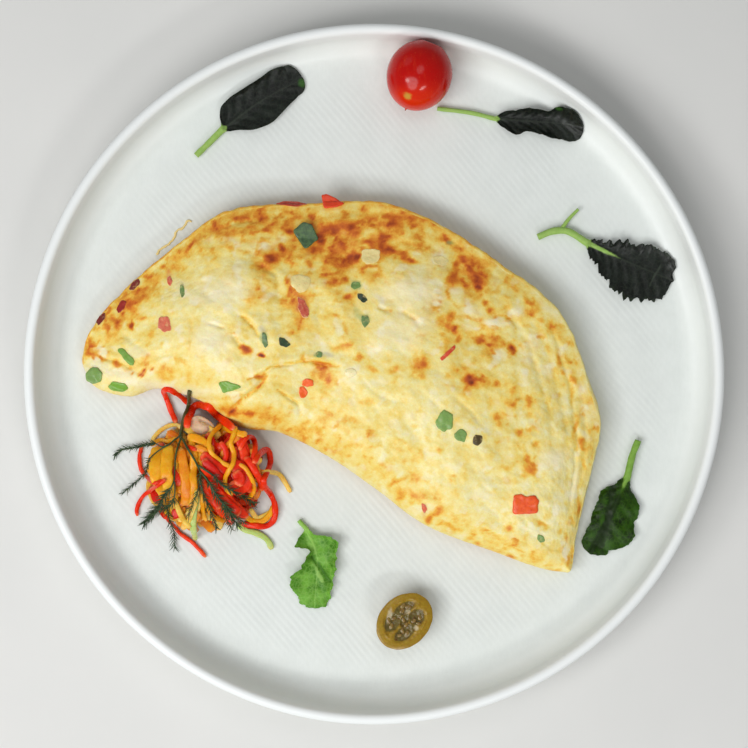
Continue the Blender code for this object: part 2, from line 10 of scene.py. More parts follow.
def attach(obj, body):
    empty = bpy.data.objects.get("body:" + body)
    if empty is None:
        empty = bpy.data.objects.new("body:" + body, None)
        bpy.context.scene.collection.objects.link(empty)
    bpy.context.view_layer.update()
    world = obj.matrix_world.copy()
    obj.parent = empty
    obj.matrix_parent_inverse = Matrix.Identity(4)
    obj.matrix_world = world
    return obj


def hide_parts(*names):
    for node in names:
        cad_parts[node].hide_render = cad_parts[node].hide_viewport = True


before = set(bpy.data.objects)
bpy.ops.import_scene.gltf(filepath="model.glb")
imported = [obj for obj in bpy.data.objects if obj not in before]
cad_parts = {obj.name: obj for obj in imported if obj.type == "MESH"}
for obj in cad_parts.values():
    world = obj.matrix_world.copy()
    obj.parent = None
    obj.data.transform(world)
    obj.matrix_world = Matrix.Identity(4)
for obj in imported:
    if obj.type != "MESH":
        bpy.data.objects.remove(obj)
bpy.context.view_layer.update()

# A folded vegetable omelette on its white plate, with its garnish, seen from straight above.
# Lengths in the lists are millimetres; meshes are built in metres at their true places.
MM = 0.001
TAU = 2 * math.pi

# Camera and light
CAMERA_HEIGHT = 0.9
LENS = 109.87
MAIN_LIGHT = dict(turn=228, lift=54, away=1.3, size=(0.9, 0.9), power=8.8)
KEY_LIGHT = dict(turn=200, lift=46, away=1.1, size=(0.27, 0.27), power=1.9)
SIDE_LIGHT = dict(turn=290, lift=44, away=1.1, size=(0.36, 0.15), power=1.8)
FILL_LIGHT = dict(turn=132, lift=30, away=1.2, size=(0.5, 0.5), power=0.35)
TOP_LIGHT = dict(turn=85, lift=73, away=0.75, size=(0.3, 0.3), power=0.42)
WORLD_LIGHT = 0.3

# Plate
PLATE_RADIUS = 135.0
PLATE_HEIGHT = 22.0
LIP_RADIUS = 2.1
FLOOR_HEIGHT = 6.5
FLOOR_RADIUS = 120.0
COVE_RADIUS = 10.0
SHELL = 4.0
FOOT_HEIGHT = 2.5
FOOT_OUTER = 90.0
FOOT_INNER = 84.0
REST = FLOOR_HEIGHT + 0.3

# Omelette outline and sections, as the CAD part has them
FOLD_LINE = [
    (-114, 4.5), (-108.5, -5), (-95, -8.7), (-83, -5.7), (-66, -11), (-51.5, -20.6), (-36.5, -22.8),
    (-17, -32.5), (0.5, -44.5), (20.5, -59), (46.5, -69), (64.5, -75.5), (76.7, -77.6),
]
OPEN_LINE = [
    (-114, 4.5), (-110.5, 17), (-98, 32.5), (-76, 51), (-56.5, 64), (-29, 66.5), (2.5, 67), (26, 58.3),
    (49, 43.5), (68, 29.5), (76.9, 17), (85, -4.5), (88.8, -18.8), (86, -34.5), (79.6, -61), (76.7, -77.6),
]
STATIONS = [0, 0.06, 0.15, 0.27, 0.36, 0.43, 0.55, 0.68, 0.80, 0.92, 1]
FOLD_HEIGHTS = [4.5, 8, 12, 15, 14, 11.5, 13, 12.5, 11.5, 9, 5.5]
RIDGE_HEIGHTS = [5, 10, 16, 24, 24.5, 20.5, 23, 20, 17.5, 12.5, 6.5]
EDGE_HEIGHTS = [5, 6.5, 8, 9.5, 10, 10.2, 11, 11, 10, 8, 5.5]
SHEET_REACHES = [0.6, 1.0, 1.2, 1.0, 0.8, 0.8, 0.8, 1.4, 3.0, 3.5, 0.8]
SHEET = 2.4
FOLD_GROOVE = 4.0

DOMES = [
    (-56.9, 31.2, 13.0, 9.9, 0, 1.2),
    (-61.9, 11.7, 9.9, 8.4, 0, 1.0),
    (14.6, 28.1, 15.3, 11.5, 0, 1.2),
    (9.3, 14.8, 9.9, 6.9, 0, 0.6),
    (-28.2, 34.3, 3.4, 3.1, 0, 0.5),
    (-12.9, 49.9, 3.4, 2.3, 0, 0.5),
    (-1.5, 45.0, 3.8, 3.1, 0, 0.4),
    (-18.7, 34.3, 3.4, 2.7, 0, 0.35),
    (-85.6, 10.9, 6.9, 5.3, 0, 0.5),
    (25.3, -17.7, 15.3, 11.5, 0, 0.5),
    (48.3, -25.4, 15.3, 15.3, 0, 0.5),
    (67.4, -33.0, 4.6, 3.8, 0, 0.4),
    (34.1, 34.6, 1.5, 3.8, 0, 0.3),
    (45.6, 19.7, 5.0, 2.3, 0, 0.5),
    (37.2, 23.9, 4.2, 3.4, 0, 0.4),
    (55.1, 23.9, 2.3, 2.3, 0, 0.3),
    (13.8, -15.8, 2.3, 2.3, 0, 0.3),
    (-9.1, 0.6, 2.7, 1.9, 0, 0.3),
]
SPOTS = [
    (-94, 18.8, 1.2, 1.9, 10, 1.15), (-89.1, 21.5, 2.3, 1, 10, 0.62), (-99.4, 20, 1.5, 2.3, -20, 0.66),
    (-70.7, 49.4, 3.5, 1.2, 52, 0.78), (-81.8, 41.3, 1.2, 1.5, 40, 0.72), (-104.2, 10.1, 0.8, 0.8, 0, 0.5),
    (-105.9, 6.5, 2.3, 1, -30, 0.7), (-99.2, 4, 3.1, 1.2, -22, 0.68), (-110.5, 7.6, 2.7, 1.7, -15, 0.6),
    (-88.5, 1, 1, 0.8, 0, 0.95), (-85.6, 1.4, 0.9, 0.9, 0, 0.78), (-89.9, -0.3, 1.2, 1, 0, 0.92),
    (-93.7, 0.2, 1.2, 0.8, 20, 0.55), (-113, 13.2, 1.5, 3.1, -10, 0.55), (-107.9, 28.8, 1.5, 3.8, -40, 0.5),
    (-81.8, 11.9, 0.9, 1.5, 0, 0.42), (-85.8, 15.2, 1.9, 2.3, 0, 0.42), (-88.8, 29.6, 2.7, 1.5, 35, 0.5),
    (-85.7, 33.5, 1.5, 2.7, -35, 0.5), (-61.9, 58.3, 1.2, 2.7, 20, 0.72), (-52.9, 60.2, 5.4, 1.2, 8, 0.5),
    (-47, 57, 1.9, 1.5, -20, 0.62), (-41.8, 55.5, 1.9, 1.3, 0, 0.7), (-44.7, 55, 4.6, 1, 4, 0.55),
    (-56.1, 48.7, 1.9, 1.2, -45, 0.5), (-49.1, 46.7, 2.3, 1.2, -10, 0.5), (-53.1, 50.3, 1.5, 1, 0, 0.35),
    (-32.6, 55.1, 1.9, 1.4, 0, 0.95), (-30.1, 60.2, 2.3, 1.5, 20, 0.65), (-33.3, 59, 1.5, 1.9, 10, 0.68),
    (-20.9, 52.2, 1.8, 3.5, 12, 1), (-23.6, 47.9, 2.5, 2.3, 45, 0.88), (-18.8, 54.6, 2.3, 2.3, 0, 0.72),
    (-39.5, 44.6, 2.8, 2.8, 0, 0.92), (-35.2, 48.1, 1.4, 2.3, 35, 0.86), (-33, 43.6, 1.5, 1.5, 0, 0.68),
    (-24.6, 42.1, 1.6, 1.5, 0, 0.66), (-28.3, 44.8, 1.9, 1.2, -20, 0.5), (-19.9, 40.5, 1.9, 1.5, 0, 0.5),
    (-33.1, 35.6, 1, 2.3, 0, 0.74), (-32.4, 31.6, 1.2, 2.5, -14, 0.8), (-23.6, 30.4, 3.1, 1, 0, 0.54),
    (-27, 22.4, 3.1, 1.5, -20, 0.5), (-28.5, 17.8, 1.2, 2.7, -10, 0.55), (-32.3, 15.9, 2.7, 1.2, 30, 0.45),
    (-15.2, 56.2, 4.2, 2.3, 10, 0.84), (-8.6, 56.7, 2.7, 2.3, -10, 0.78), (-13.1, 58.9, 3.5, 1.2, 0, 0.55),
    (6.8, 58, 3.5, 1.8, 28, 0.86), (2.8, 58.2, 2.3, 1.9, 0, 0.62), (-0.7, 59.8, 2.3, 1.2, 0, 0.5),
    (-2.9, 51, 3.5, 1.4, 4, 0.84), (3.5, 52.3, 2.2, 3.1, -20, 0.78), (5.9, 47.5, 3.5, 1.9, -12, 0.88),
    (10.9, 46.5, 3.1, 1.5, -20, 0.74), (14.2, 44, 3.3, 1.6, -18, 0.9), (10.9, 44.5, 1.9, 1.2, 0, 0.7),
    (-9.3, 44.7, 3.5, 3.8, 0, 0.86), (-6.3, 44.9, 1.4, 1.9, 0, 1.2), (-11.9, 49.1, 2.7, 2.3, -30, 0.72),
    (-1.7, 41.1, 4.6, 1.1, 6, 0.72), (0.4, 37.9, 2.3, 1.3, 10, 0.52), (-13, 41.7, 3.1, 1.9, -30, 0.66),
    (-14.3, 36.1, 1.7, 1.9, 0, 0.64), (-10.4, 36.3, 1.2, 1.7, 0, 0.76), (-10.2, 29.2, 2.3, 1.5, 12, 0.74),
    (-13.7, 30.9, 1.5, 1.5, 0, 0.4), (-14.9, 22.5, 2.3, 1.2, 8, 0.48), (-10.7, 17.5, 1.2, 3.1, 4, 0.5),
    (17, 53.3, 2.3, 1.5, 0, 0.58), (20.9, 48.5, 2.3, 1.3, 40, 0.56), (17.8, 62, 1.3, 1.5, -40, 0.56),
    (16.3, 57.1, 3.1, 1.2, 10, 0.42), (10.9, 55.1, 3.1, 1.9, 20, 0.5), (9.4, 60.6, 5.4, 1.5, 0, 0.45),
    (-12.4, 10.1, 5, 1.5, 6, 0.52), (-9.1, 11.3, 1.9, 1.2, 0, 0.5), (-5.6, 6.3, 2.3, 1.5, -8, 0.62),
    (-0.1, 1.8, 2.7, 1.4, -24, 0.52), (7.9, 1.7, 3.1, 1.5, 16, 0.55), (19, 4.8, 1.3, 3.1, -8, 0.66),
    (18.2, -0.9, 1.3, 2.3, 12, 0.5), (-27, 6.3, 1.2, 2.3, 0, 0.56), (-19.7, 2.1, 1.8, 1.2, 10, 0.8),
    (-17.5, -2.2, 1.4, 2.5, 0, 0.72), (-20.2, -0.2, 0.9, 1.9, -50, 0.5), (-2.8, -10.6, 3.5, 1.5, 4, 0.38),
    (-16.5, -15.8, 3.5, 1.9, 0, 0.42), (-9.1, -17, 3.5, 1.5, -10, 0.38), (-27, -26.1, 1.9, 1.5, 0, 0.4),
    (-6.8, -19.7, 1.9, 1.9, 0, 0.35), (-49.5, 10.5, 1, 1.5, 25, 0.5), (-48.9, 9.3, 2.7, 1.5, -18, 1.08),
    (-43, 7.4, 1, 1.1, 0, 1.4), (-54.6, -14.9, 2.5, 1, 34, 1.12), (-43.6, -0.9, 2.9, 1.4, 24, 0.68),
    (-58.6, -13.7, 1.9, 1.2, 10, 0.6), (-48.4, 14, 1.5, 1.2, 0, 0.4), (34.5, 44.5, 2.2, 1.7, -10, 0.92),
    (31.8, 42, 1.5, 2.3, -40, 0.85), (30.2, 37.5, 2.2, 3.1, -22, 0.86), (37.2, 40.8, 1.5, 2.7, 35, 0.95),
    (39.5, 36.2, 2.1, 3.8, 18, 1.06), (40.2, 33, 1.9, 1.5, 0, 1.12), (28.6, 30.8, 1.1, 3.5, 0, 0.56),
    (29.6, 22.5, 1.9, 2.3, -20, 0.62), (31.1, 17.5, 1.7, 1.5, 20, 0.98), (32.3, 13.7, 1.3, 2.3, -15, 0.66),
    (28, 8.7, 1, 2.3, -40, 0.5), (25.4, 19.4, 2.1, 2.7, -20, 0.48), (42.9, 27.2, 1.4, 1.8, 0, 0.68),
    (44.3, 24.1, 1.8, 1.5, 20, 0.74), (41, 13.1, 3.1, 2.2, 25, 0.74), (46.2, 13.7, 3.1, 1.5, 8, 0.62),
    (49.7, 11.8, 1.5, 1.5, 0, 0.5), (53, 9.6, 1.2, 2.5, 28, 1.05), (36.2, -2.1, 2.3, 2.3, -20, 0.88),
    (37.3, -3.2, 1.3, 1.3, 0, 0.98), (41.4, -2, 1.4, 1.5, 0, 0.58), (46.8, -4, 1.6, 1.4, 0, 0.58),
    (36.1, 8.3, 3.1, 1.2, 0, 0.35), (43.7, 45.3, 1.9, 1.2, -35, 0.56), (47.1, 31.3, 1.6, 1.2, 0, 0.46),
    (51.5, 27.3, 1.9, 1.5, -40, 0.35), (59, 28.9, 3.1, 1.7, -40, 0.46), (61.6, 23.8, 1.5, 1.9, 0, 0.4),
    (64.5, 14.3, 1.9, 1.5, -20, 0.56), (67.4, 9.5, 1.5, 2.7, 20, 0.4), (71.3, 5.3, 1.2, 4.6, 14, 0.56),
    (73.3, 0.2, 1.2, 2.3, 14, 0.5), (43.5, 6.4, 1.9, 3.5, 25, 0.4), (47.3, 2.9, 2.3, 1.2, 0, 0.38),
    (52.6, -10.9, 2.7, 2.7, 0, 0.56), (53.5, -7.1, 1.3, 2.3, 0, 0.5), (59.7, -10.4, 1.9, 2.5, 0, 0.62),
    (59.7, -15.8, 1.2, 1.7, 0, 0.5), (47.4, -16.6, 2.8, 1.7, -12, 0.56), (48, -19.3, 1.5, 1.9, 0, 0.5),
    (55.4, -22.4, 1.8, 1.6, 0, 0.62), (62, -26.8, 2.2, 1.5, 30, 0.52), (58.8, -32.8, 2.7, 1.7, -46, 0.62),
    (60.4, -36.7, 3.1, 2.2, -30, 0.6), (57.7, -39, 1.5, 1.5, 0, 0.42), (49.8, -36.2, 2.7, 1.1, -14, 0.42),
    (24.9, -29.1, 1.3, 1.9, 0, 0.58), (15.8, -19.9, 1.5, 1.2, 0, 0.36), (30.5, -39.1, 1.2, 1, 0, 0.62),
    (20.8, -25.4, 1.5, 1.2, 0, 0.3), (9.2, -40.9, 4.6, 1.3, 26, 0.52), (6.6, -42.6, 2.7, 1, 30, 0.5),
    (15.9, -40.3, 1.9, 1.5, 0, 0.42), (15.3, -46.5, 3.5, 1.7, -52, 0.52), (14.6, -49.5, 1.5, 1.2, 0, 0.48),
    (10.9, -44.9, 3.5, 1.9, -30, 0.4), (21.3, -56.3, 1.9, 2.1, -30, 0.74), (24, -54.2, 1.5, 1.3, 20, 0.6),
    (25.3, -51.8, 1.5, 1.8, 0, 0.62), (28.5, -58, 3.1, 1.2, -30, 0.55), (32.1, -60, 2.7, 1, -20, 0.5),
    (52.1, -59.6, 2.1, 1.5, 0, 0.64), (64, -57.5, 3.8, 1.2, -24, 0.5), (66, -59.9, 1.5, 1.2, 0, 0.4),
    (40.4, -65.4, 2.1, 1, -16, 0.6), (53.6, -70.7, 2.8, 1.1, -32, 0.6), (47.8, -68.4, 3.5, 1, -24, 0.45),
    (70.4, -76.7, 2.3, 1.1, -4, 0.5), (58.3, -62.6, 1.9, 1.2, 0, 0.35), (75.4, -72.4, 1.2, 3.5, -6, 0.45),
    (72, -60.9, 1.5, 1.9, 0, 0.38), (77.8, -20.7, 1.2, 5.8, -12, 0.5), (80.2, -26.1, 1.9, 3.1, 10, 0.58),
    (76.4, -9.4, 1, 3.8, 0, 0.5), (81.1, -34.3, 1.2, 3.8, 14, 0.45), (79.5, -51.8, 1.1, 5.4, 10, 0.55),
    (76.5, -56.8, 0.9, 3.1, 18, 0.45), (74.6, -63.8, 1.2, 3.1, 10, 0.4),
]
GLOWS = [
    # wider golden patches
    (-37.8, 44.6, 7.8, 4.1, 10, 0.42),
    (-14.1, 45.0, 7.2, 10.3, -10, 0.45),
    (2.4, 50.4, 5.2, 9.3, -8, 0.45),
    (-28.6, 27.4, 4.1, 6.2, 15, 0.55),
    (28.8, 15.9, 3.1, 6.7, 10, 0.4),
    (44.5, 12.9, 5.2, 6.2, 0, 0.35),
    (37.6, -2.1, 6.7, 4.7, 0, 0.42),
    (54.1, -10.1, 7.8, 3.6, -10, 0.26),
    (59.8, -34.2, 3.1, 4.7, 0, 0.26),
    (7.0, -43.0, 7.2, 4.1, -35, 0.22),
    (23.8, -54.5, 4.1, 3.1, -20, 0.3),
    (50.2, -64.1, 13.4, 4.1, -20, 0.24),
    (-19.8, -0.5, 4.1, 5.2, 0, 0.36),
    (-15.6, -17.0, 4.7, 3.6, 0, 0.24),
    (17.7, 3.7, 3.1, 3.6, 0, 0.32),
    (-94.5, 28.9, 11.4, 5.2, 45, 0.3),
    (36.8, 35.1, 8.3, 7.2, -40, 0.3),
    (-16.9, 57, 30.8, 7.7, 0, 0.36), (-47.9, 58.6, 19.2, 6.9, 12, 0.32), (17.9, 57.1, 23.1, 7.7, -14, 0.34),
    (41.1, 40.1, 13.1, 7.7, -40, 0.22), (-9.2, 46.8, 23.1, 7.7, 0, 0.26),
    (60.5, 24.6, 19.2, 6.2, -46, 0.22), (78.4, -2.5, 6.2, 19.2, 12, 0.16),
    (82.6, -25.7, 5.4, 19.2, -8, 0.14), (79.1, -57.3, 4.6, 16.9, -8, 0.16),
    (-94.4, 28.5, 17.7, 5.4, 44, 0.34), (-109.3, 11.1, 6.2, 8.5, -20, 0.3),
    (-79.2, 2.5, 10.8, 3.8, -8, 0.26), (-71.1, 47.8, 13.8, 5.4, 35, 0.26),
    (-49.2, -16.3, 13.1, 3.8, 0, 0.28), (-28.2, 28.1, 13.1, 13.1, 0, 0.12),
    (-42.7, 33.9, 3.8, 8.5, -25, 0.2), (31.2, 28.3, 11.5, 16.9, 0, 0.14), (48.5, 9.1, 15.4, 10, -20, 0.16),
    (56.2, -17.8, 13.1, 19.2, -12, 0.16), (17.8, -45.6, 13.1, 4.6, -34, 0.2),
    (41, -62.4, 23.1, 3.5, -22, 0.2), (66.4, -73.1, 11.5, 3.5, -6, 0.18),
    # The patch at (-57.4, -14) is painted shade on the low side of the fold's lip.
    (-28.5, -21.8, 23.1, 6.2, -14, 0.2), (-57.4, -14, 9.2, 3.5, 0, 0.24), (6.2, -31.3, 23.1, 9.2, -28, 0.1),
    (83.9, -25.8, 2.7, 23.1, -4, 0.12),
]
CREAMS = [
    (-58.1, 31.2, 12.3, 6.5, 8, 0.8), (-62.2, 12.8, 7.7, 6.5, -6, 0.85), (-74.2, 34.5, 3.5, 2.3, 0, 0.5),
    (-42.6, 49.1, 7.7, 3.1, 12, 0.6), (-56.6, 52.3, 6.2, 2.3, 14, 0.45), (-27.5, 34.7, 3.8, 2.7, 0, 0.8),
    (-18.7, 34.7, 3.8, 2.3, 0, 0.4), (-29, 28.1, 1.5, 2.3, 0, 0.2), (-106.4, 9.5, 3.5, 1.9, -20, 0.8),
    (-98.9, 0.2, 10, 3.1, -16, 0.85), (-108, 3.7, 5.4, 2.3, -12, 0.7), (-86.5, -4, 11.5, 2.7, -6, 0.75),
    (-67, -6.7, 15.4, 2.3, 0, 0.55), (-13, 50.4, 3.8, 2.5, 0, 0.7), (-2.9, 55.6, 3.1, 1.9, 0, 0.5),
    (3.9, 63, 3.8, 1.5, 0, 0.35), (-1.1, 45.3, 3.5, 3.1, 0, 0.5), (15, 31.3, 12.3, 6.2, 0, 0.85),
    (10, 15.5, 10.8, 7.7, 0, 0.62), (19.2, 19.8, 5.4, 4.6, 0, 0.5), (-9, 0.6, 2.8, 1.9, 0, 1),
    (11.2, 11.3, 1.9, 1.9, 0, 0.8), (-13.5, -7.2, 1.9, 5.4, 0, 0.5), (24.8, 44.1, 3.1, 2.3, -16, 0.85),
    (17.8, 40.7, 4.6, 2.3, 0, 0.5), (-23.3, 11.7, 8.5, 1.9, 0, 0.45), (-24.5, 1.8, 10, 1.5, 0, 0.5),
    (17.2, 29.4, 4.6, 3.5, 0, 0.5), (55.7, 24, 2.2, 2.2, 0, 0.95), (46.3, 19.6, 5, 1.9, -6, 0.75),
    (34.4, 34.2, 1.2, 5, 8, 0.5), (31.7, 31.8, 3.5, 1.9, 0, 0.7), (37.4, 24.1, 4.2, 3.5, 0, 0.6),
    (37.7, 17.9, 2.3, 1.5, 0, 0.6), (48.1, 7.4, 3.8, 2.3, 0, 0.7), (71.9, 8.8, 1.9, 1.9, 0, 0.7),
    (61.9, 11.8, 3.1, 3.5, 0, 0.5), (58.7, 5.2, 2.7, 1.9, 0, 0.7), (65.3, 1, 3.5, 2.7, 0, 0.6),
    (80.2, -5.8, 2.3, 2.5, 0, 0.8), (66.8, 25.4, 5.8, 1.2, -46, 0.6), (69, -32.9, 6.5, 4.2, 0, 0.85),
    (82.7, -15, 3.5, 5.4, 0, 0.55), (77.3, -42, 1.5, 6.2, -8, 0.8), (69.7, -52.6, 1.9, 2.3, 0, 0.6),
    (74.4, -67.9, 1.5, 4.6, 0, 0.75), (36.1, -6.9, 1.5, 1.5, 0, 0.6), (14.1, -16, 2.5, 2.3, 0, 0.6),
    (21.1, -51.7, 3.1, 1.9, 20, 0.7), (28.5, -33.1, 6.9, 3.1, 0, 0.3), (16.1, -57.3, 4.6, 1.5, -30, 0.4),
    (41.9, -37, 7.7, 4.6, 0, 0.25), (48.5, -48.6, 11.5, 3.8, 0, 0.2), (-13, -21.7, 9.2, 3.1, -20, 0.2),
    (47.3, -10.9, 1.9, 1.9, 0, 0.5), (57.5, 0.6, 2.3, 1.9, 0, 0.4), (42.7, 2.9, 2.3, 1.5, 0, 0.4),
    (53.7, -63.5, 2.7, 1.5, 0, 0.5), (62.5, -15.9, 3.1, 1.9, 0, 0.3), (-11, 17.9, 3.1, 4.6, 0, 0.3),
    (0.5, 10.6, 5.4, 3.1, 0, 0.4), (26.5, -6.7, 7.7, 5.4, 0, 0.3), (6.2, -8.2, 9.2, 3.8, 0, 0.2),
    (84.6, 17.1, 1.2, 1.2, 0, 0.1), (-54.3, -1.3, 6.9, 2.3, 0, 0.35), (-76.3, 16.7, 5.4, 7.7, 0, 0.3),
    (-82.3, 7.2, 3.8, 2.3, 0, 0.4),
]
# Tinted patches on the egg: kind, place, half length, half width, turn, strength. The green and red ones are vegetable
# showing through; the grey ones are painted shade in dips and along creases.
TINTS = [
    ("green", -73.9, 32.3, 1.2, 2.7, -6, 0.5), ("green", -42, 13.6, 1.5, 2.9, -12, 0.75),
    ("grey", -43, 17, 1.9, 1.9, -30, 0.55), ("green", -6.8, 34.2, 2.3, 1.7, 0, 0.75),
    ("green", -5.3, 21.7, 3.1, 1.2, -42, 0.6), ("green", -3, 20.9, 1.6, 1.7, 0, 0.75),
    ("green", -6.4, 24.8, 2.7, 1.2, -40, 0.4), ("green", -21.1, 7.4, 1.4, 1.2, 0, 0.85),
    ("grey", -17.9, 7.1, 3.1, 1.3, 0, 0.6), ("green", -53.4, 63.9, 2.3, 1, 14, 0.45),
    ("red", -27.5, 26.2, 2.1, 3.5, -22, 0.6), ("red", -32.3, 52.2, 1, 1.5, 40, 0.35),
    ("red", -25.5, 46, 1.2, 1.5, 0, 0.35), ("red", -11.9, 54.2, 1.3, 1, 0, 0.4),
    ("red", 51.4, -40.7, 2.3, 2.1, 0, 0.32), ("red", -55.1, 5.2, 1.9, 1.7, 0, 0.4),
    ("red", -79.5, 38.5, 1.2, 2.3, 10, 0.5), ("grey", -10.3, 32.1, 1.5, 1.9, 0, 0.35),
    ("red", 19.4, -51.7, 0.9, 1.9, -24, 0.6), ("grey", 5.4, 24, 2.7, 1.2, -20, 0.3),
    ("green", 29.1, 50.7, 1.4, 1.3, 0, 0.7), ("grey", 33, -22, 2.7, 1.5, 30, 0.25),
    ("green", -49.5, 64.2, 1.9, 0.8, 10, 0.3), ("red", -102.9, 28.8, 1.2, 2.3, -42, 0.4),
    ("red", 19, -54.6, 1.2, 1.5, 0, 0.4), ("green", 40.3, -63.6, 1.5, 0.8, 0, 0.25),
    ("red", 40.8, -66.5, 1.9, 0.8, -14, 0.3), ("green", 53.2, 6.4, 0.8, 1.2, 0, 0.5),
]
# Crease lines on the egg: path, half width, darkening along it (partly browning, partly painted shade in the crease),
# depth of the crease, rise of the lobe on its left.
LINES = [
   
    ([(-48.6, -2.5), (-46.3, -1.9), (-41, 1.1), (-36.5, 3.3), (-29.2, 4.6), (-20.2, 4.1), (-13.3, 2.9)], 0.8, 0.58, 1.1, 0.5),
    ([(-56.2, -14.4), (-52.2, -11.2), (-49.6, -9.4), (-44.4, -5.1), (-40.9, -0.5)], 1, 0.66, 1.5, 0.9),
    ([(-37.1, -5.9), (-34.1, -7.8), (-31.8, -9.4), (-29.6, -11.3), (-28.4, -13.6), (-28.1, -17.1)], 0.7, 0.55, 0.8, 0.3),
    ([(-44.8, 42.4), (-40.9, 40.1), (-37.8, 37.4), (-36.6, 31.9), (-36.2, 27)], 1.2, 0.34, 0.7, 0),
    ([(-51.5, 23.1), (-49.5, 21.6), (-47.6, 19.7), (-45.3, 16.6), (-44.2, 13.6)], 0.9, 0.5, 0.9, 0.4),
    ([(-63.7, 19.3), (-61.1, 18.6), (-56.8, 17.2)], 0.9, 0.42, 0.5, 0),
    ([(-54.1, 15.5), (-52.2, 13.2), (-50.7, 10.9)], 0.8, 0.45, 0.5, 0),
    ([(2, 25.7), (3.9, 24.6), (6.6, 23.8)], 1, 0.5, 0.6, 0),
    ([(8.9, 24), (11.6, 23.4), (14.2, 22.3), (16.2, 20.1), (16.7, 16.7)], 1.2, 0.34, 0.6, 0),
    ([(-70.7, 21.3), (-70.1, 16.7), (-70.8, 11)], 1, 0.34, 0.5, 0),
    ([(-65.2, 37.1), (-64.3, 32), (-61.1, 27.4)], 1.4, 0.1, 0.4, 0),
    ([(42, -59.4), (45.6, -62.3), (49.5, -64.9), (53.8, -66.8), (58, -68.4)], 0.8, 0.66, 0.7, 0.4),
    ([(46.2, 21.6), (50.2, 22), (53, 20.7), (54.5, 18), (54.7, 14.5)], 0.8, 0.5, 0.3, 0),
    ([(28.2, 38), (30.2, 43.1), (34.1, 45.9), (38, 43.2), (41.1, 37.7)], 0.8, 0.3, 0.3, 0),
    ([(58.1, 26.2), (63.5, 16.9), (67.8, 5.3), (72, -10.2), (74.2, -25.6), (74.2, -41.1)], 1.5, 0.24, 0.25, 0),
    ([(63.2, 28.7), (69, 16.9), (73.3, 3.7), (76.8, -11), (78.2, -25.7), (77.1, -40.4), (74.8, -56.7)], 1.1, 0.28, 0.35, 0.15),
    ([(76.9, 9.2), (80.4, -7.2), (81.8, -21.9), (80.7, -35.8), (78.5, -49.1)], 1.2, 0.22, 0.25, 0),
    ([(48.8, 28.4), (56.4, 16.8), (62.6, 1.4), (67.2, -14), (68.6, -29.4)], 1.5, 0.12, 0.35, 0),
    ([(-106, 7.2), (-101.2, 5.6), (-96.5, 3.7), (-91.4, 1), (-85.6, 0.6)], 0.9, 0.3, 0.5, 0.4),
    ([(-68.9, -9.5), (-62.4, -9.8), (-55.3, -9.4), (-50.2, -7.4)], 0.9, 0.45, 0.9, 0.7),
    ([(-98.2, 16.9), (-92.1, 11), (-86.2, 7.9), (-80.3, 6)], 1.2, 0.12, 0.4, 0),
    ([(-28.3, 58.1), (-16.9, 61.7), (-1.5, 62.5), (10.1, 61)], 1.3, 0.2, 0.4, 0),
    ([(-63.4, 54.8), (-51.7, 58.6), (-40.2, 61), (-28.6, 62.5)], 1.2, 0.22, 0.4, 0),
    ([(17.9, 58.7), (29.5, 51.7), (41.1, 43.2), (52, 33.9)], 1.2, 0.2, 0.35, 0),
    ([(-90.7, 36.3), (-82.1, 43.3), (-72.8, 51), (-65.1, 57.3)], 1, 0.25, 0.4, 0),
    ([(-20.6, 28.2), (-21.3, 21.3), (-19.8, 15.1)], 1, 0.12, 0.35, 0),
    ([(-5.3, -2.4), (2.4, -8.2), (13.8, -10.9)], 1.2, 0.1, 0.35, 0),
    ([(21.5, -8.2), (25.3, -13.9), (23.8, -21.6)], 1.2, 0.08, 0.3, 0),
    ([(29.9, -8.2), (36.9, -13.9), (40.7, -20.1)], 1.2, 0.08, 0.3, 0),
    ([(-28.5, -17.9), (-16.9, -25.6), (-1.5, -34.1), (10.1, -43.3)], 1.3, 0.18, 0.4, 0),
]
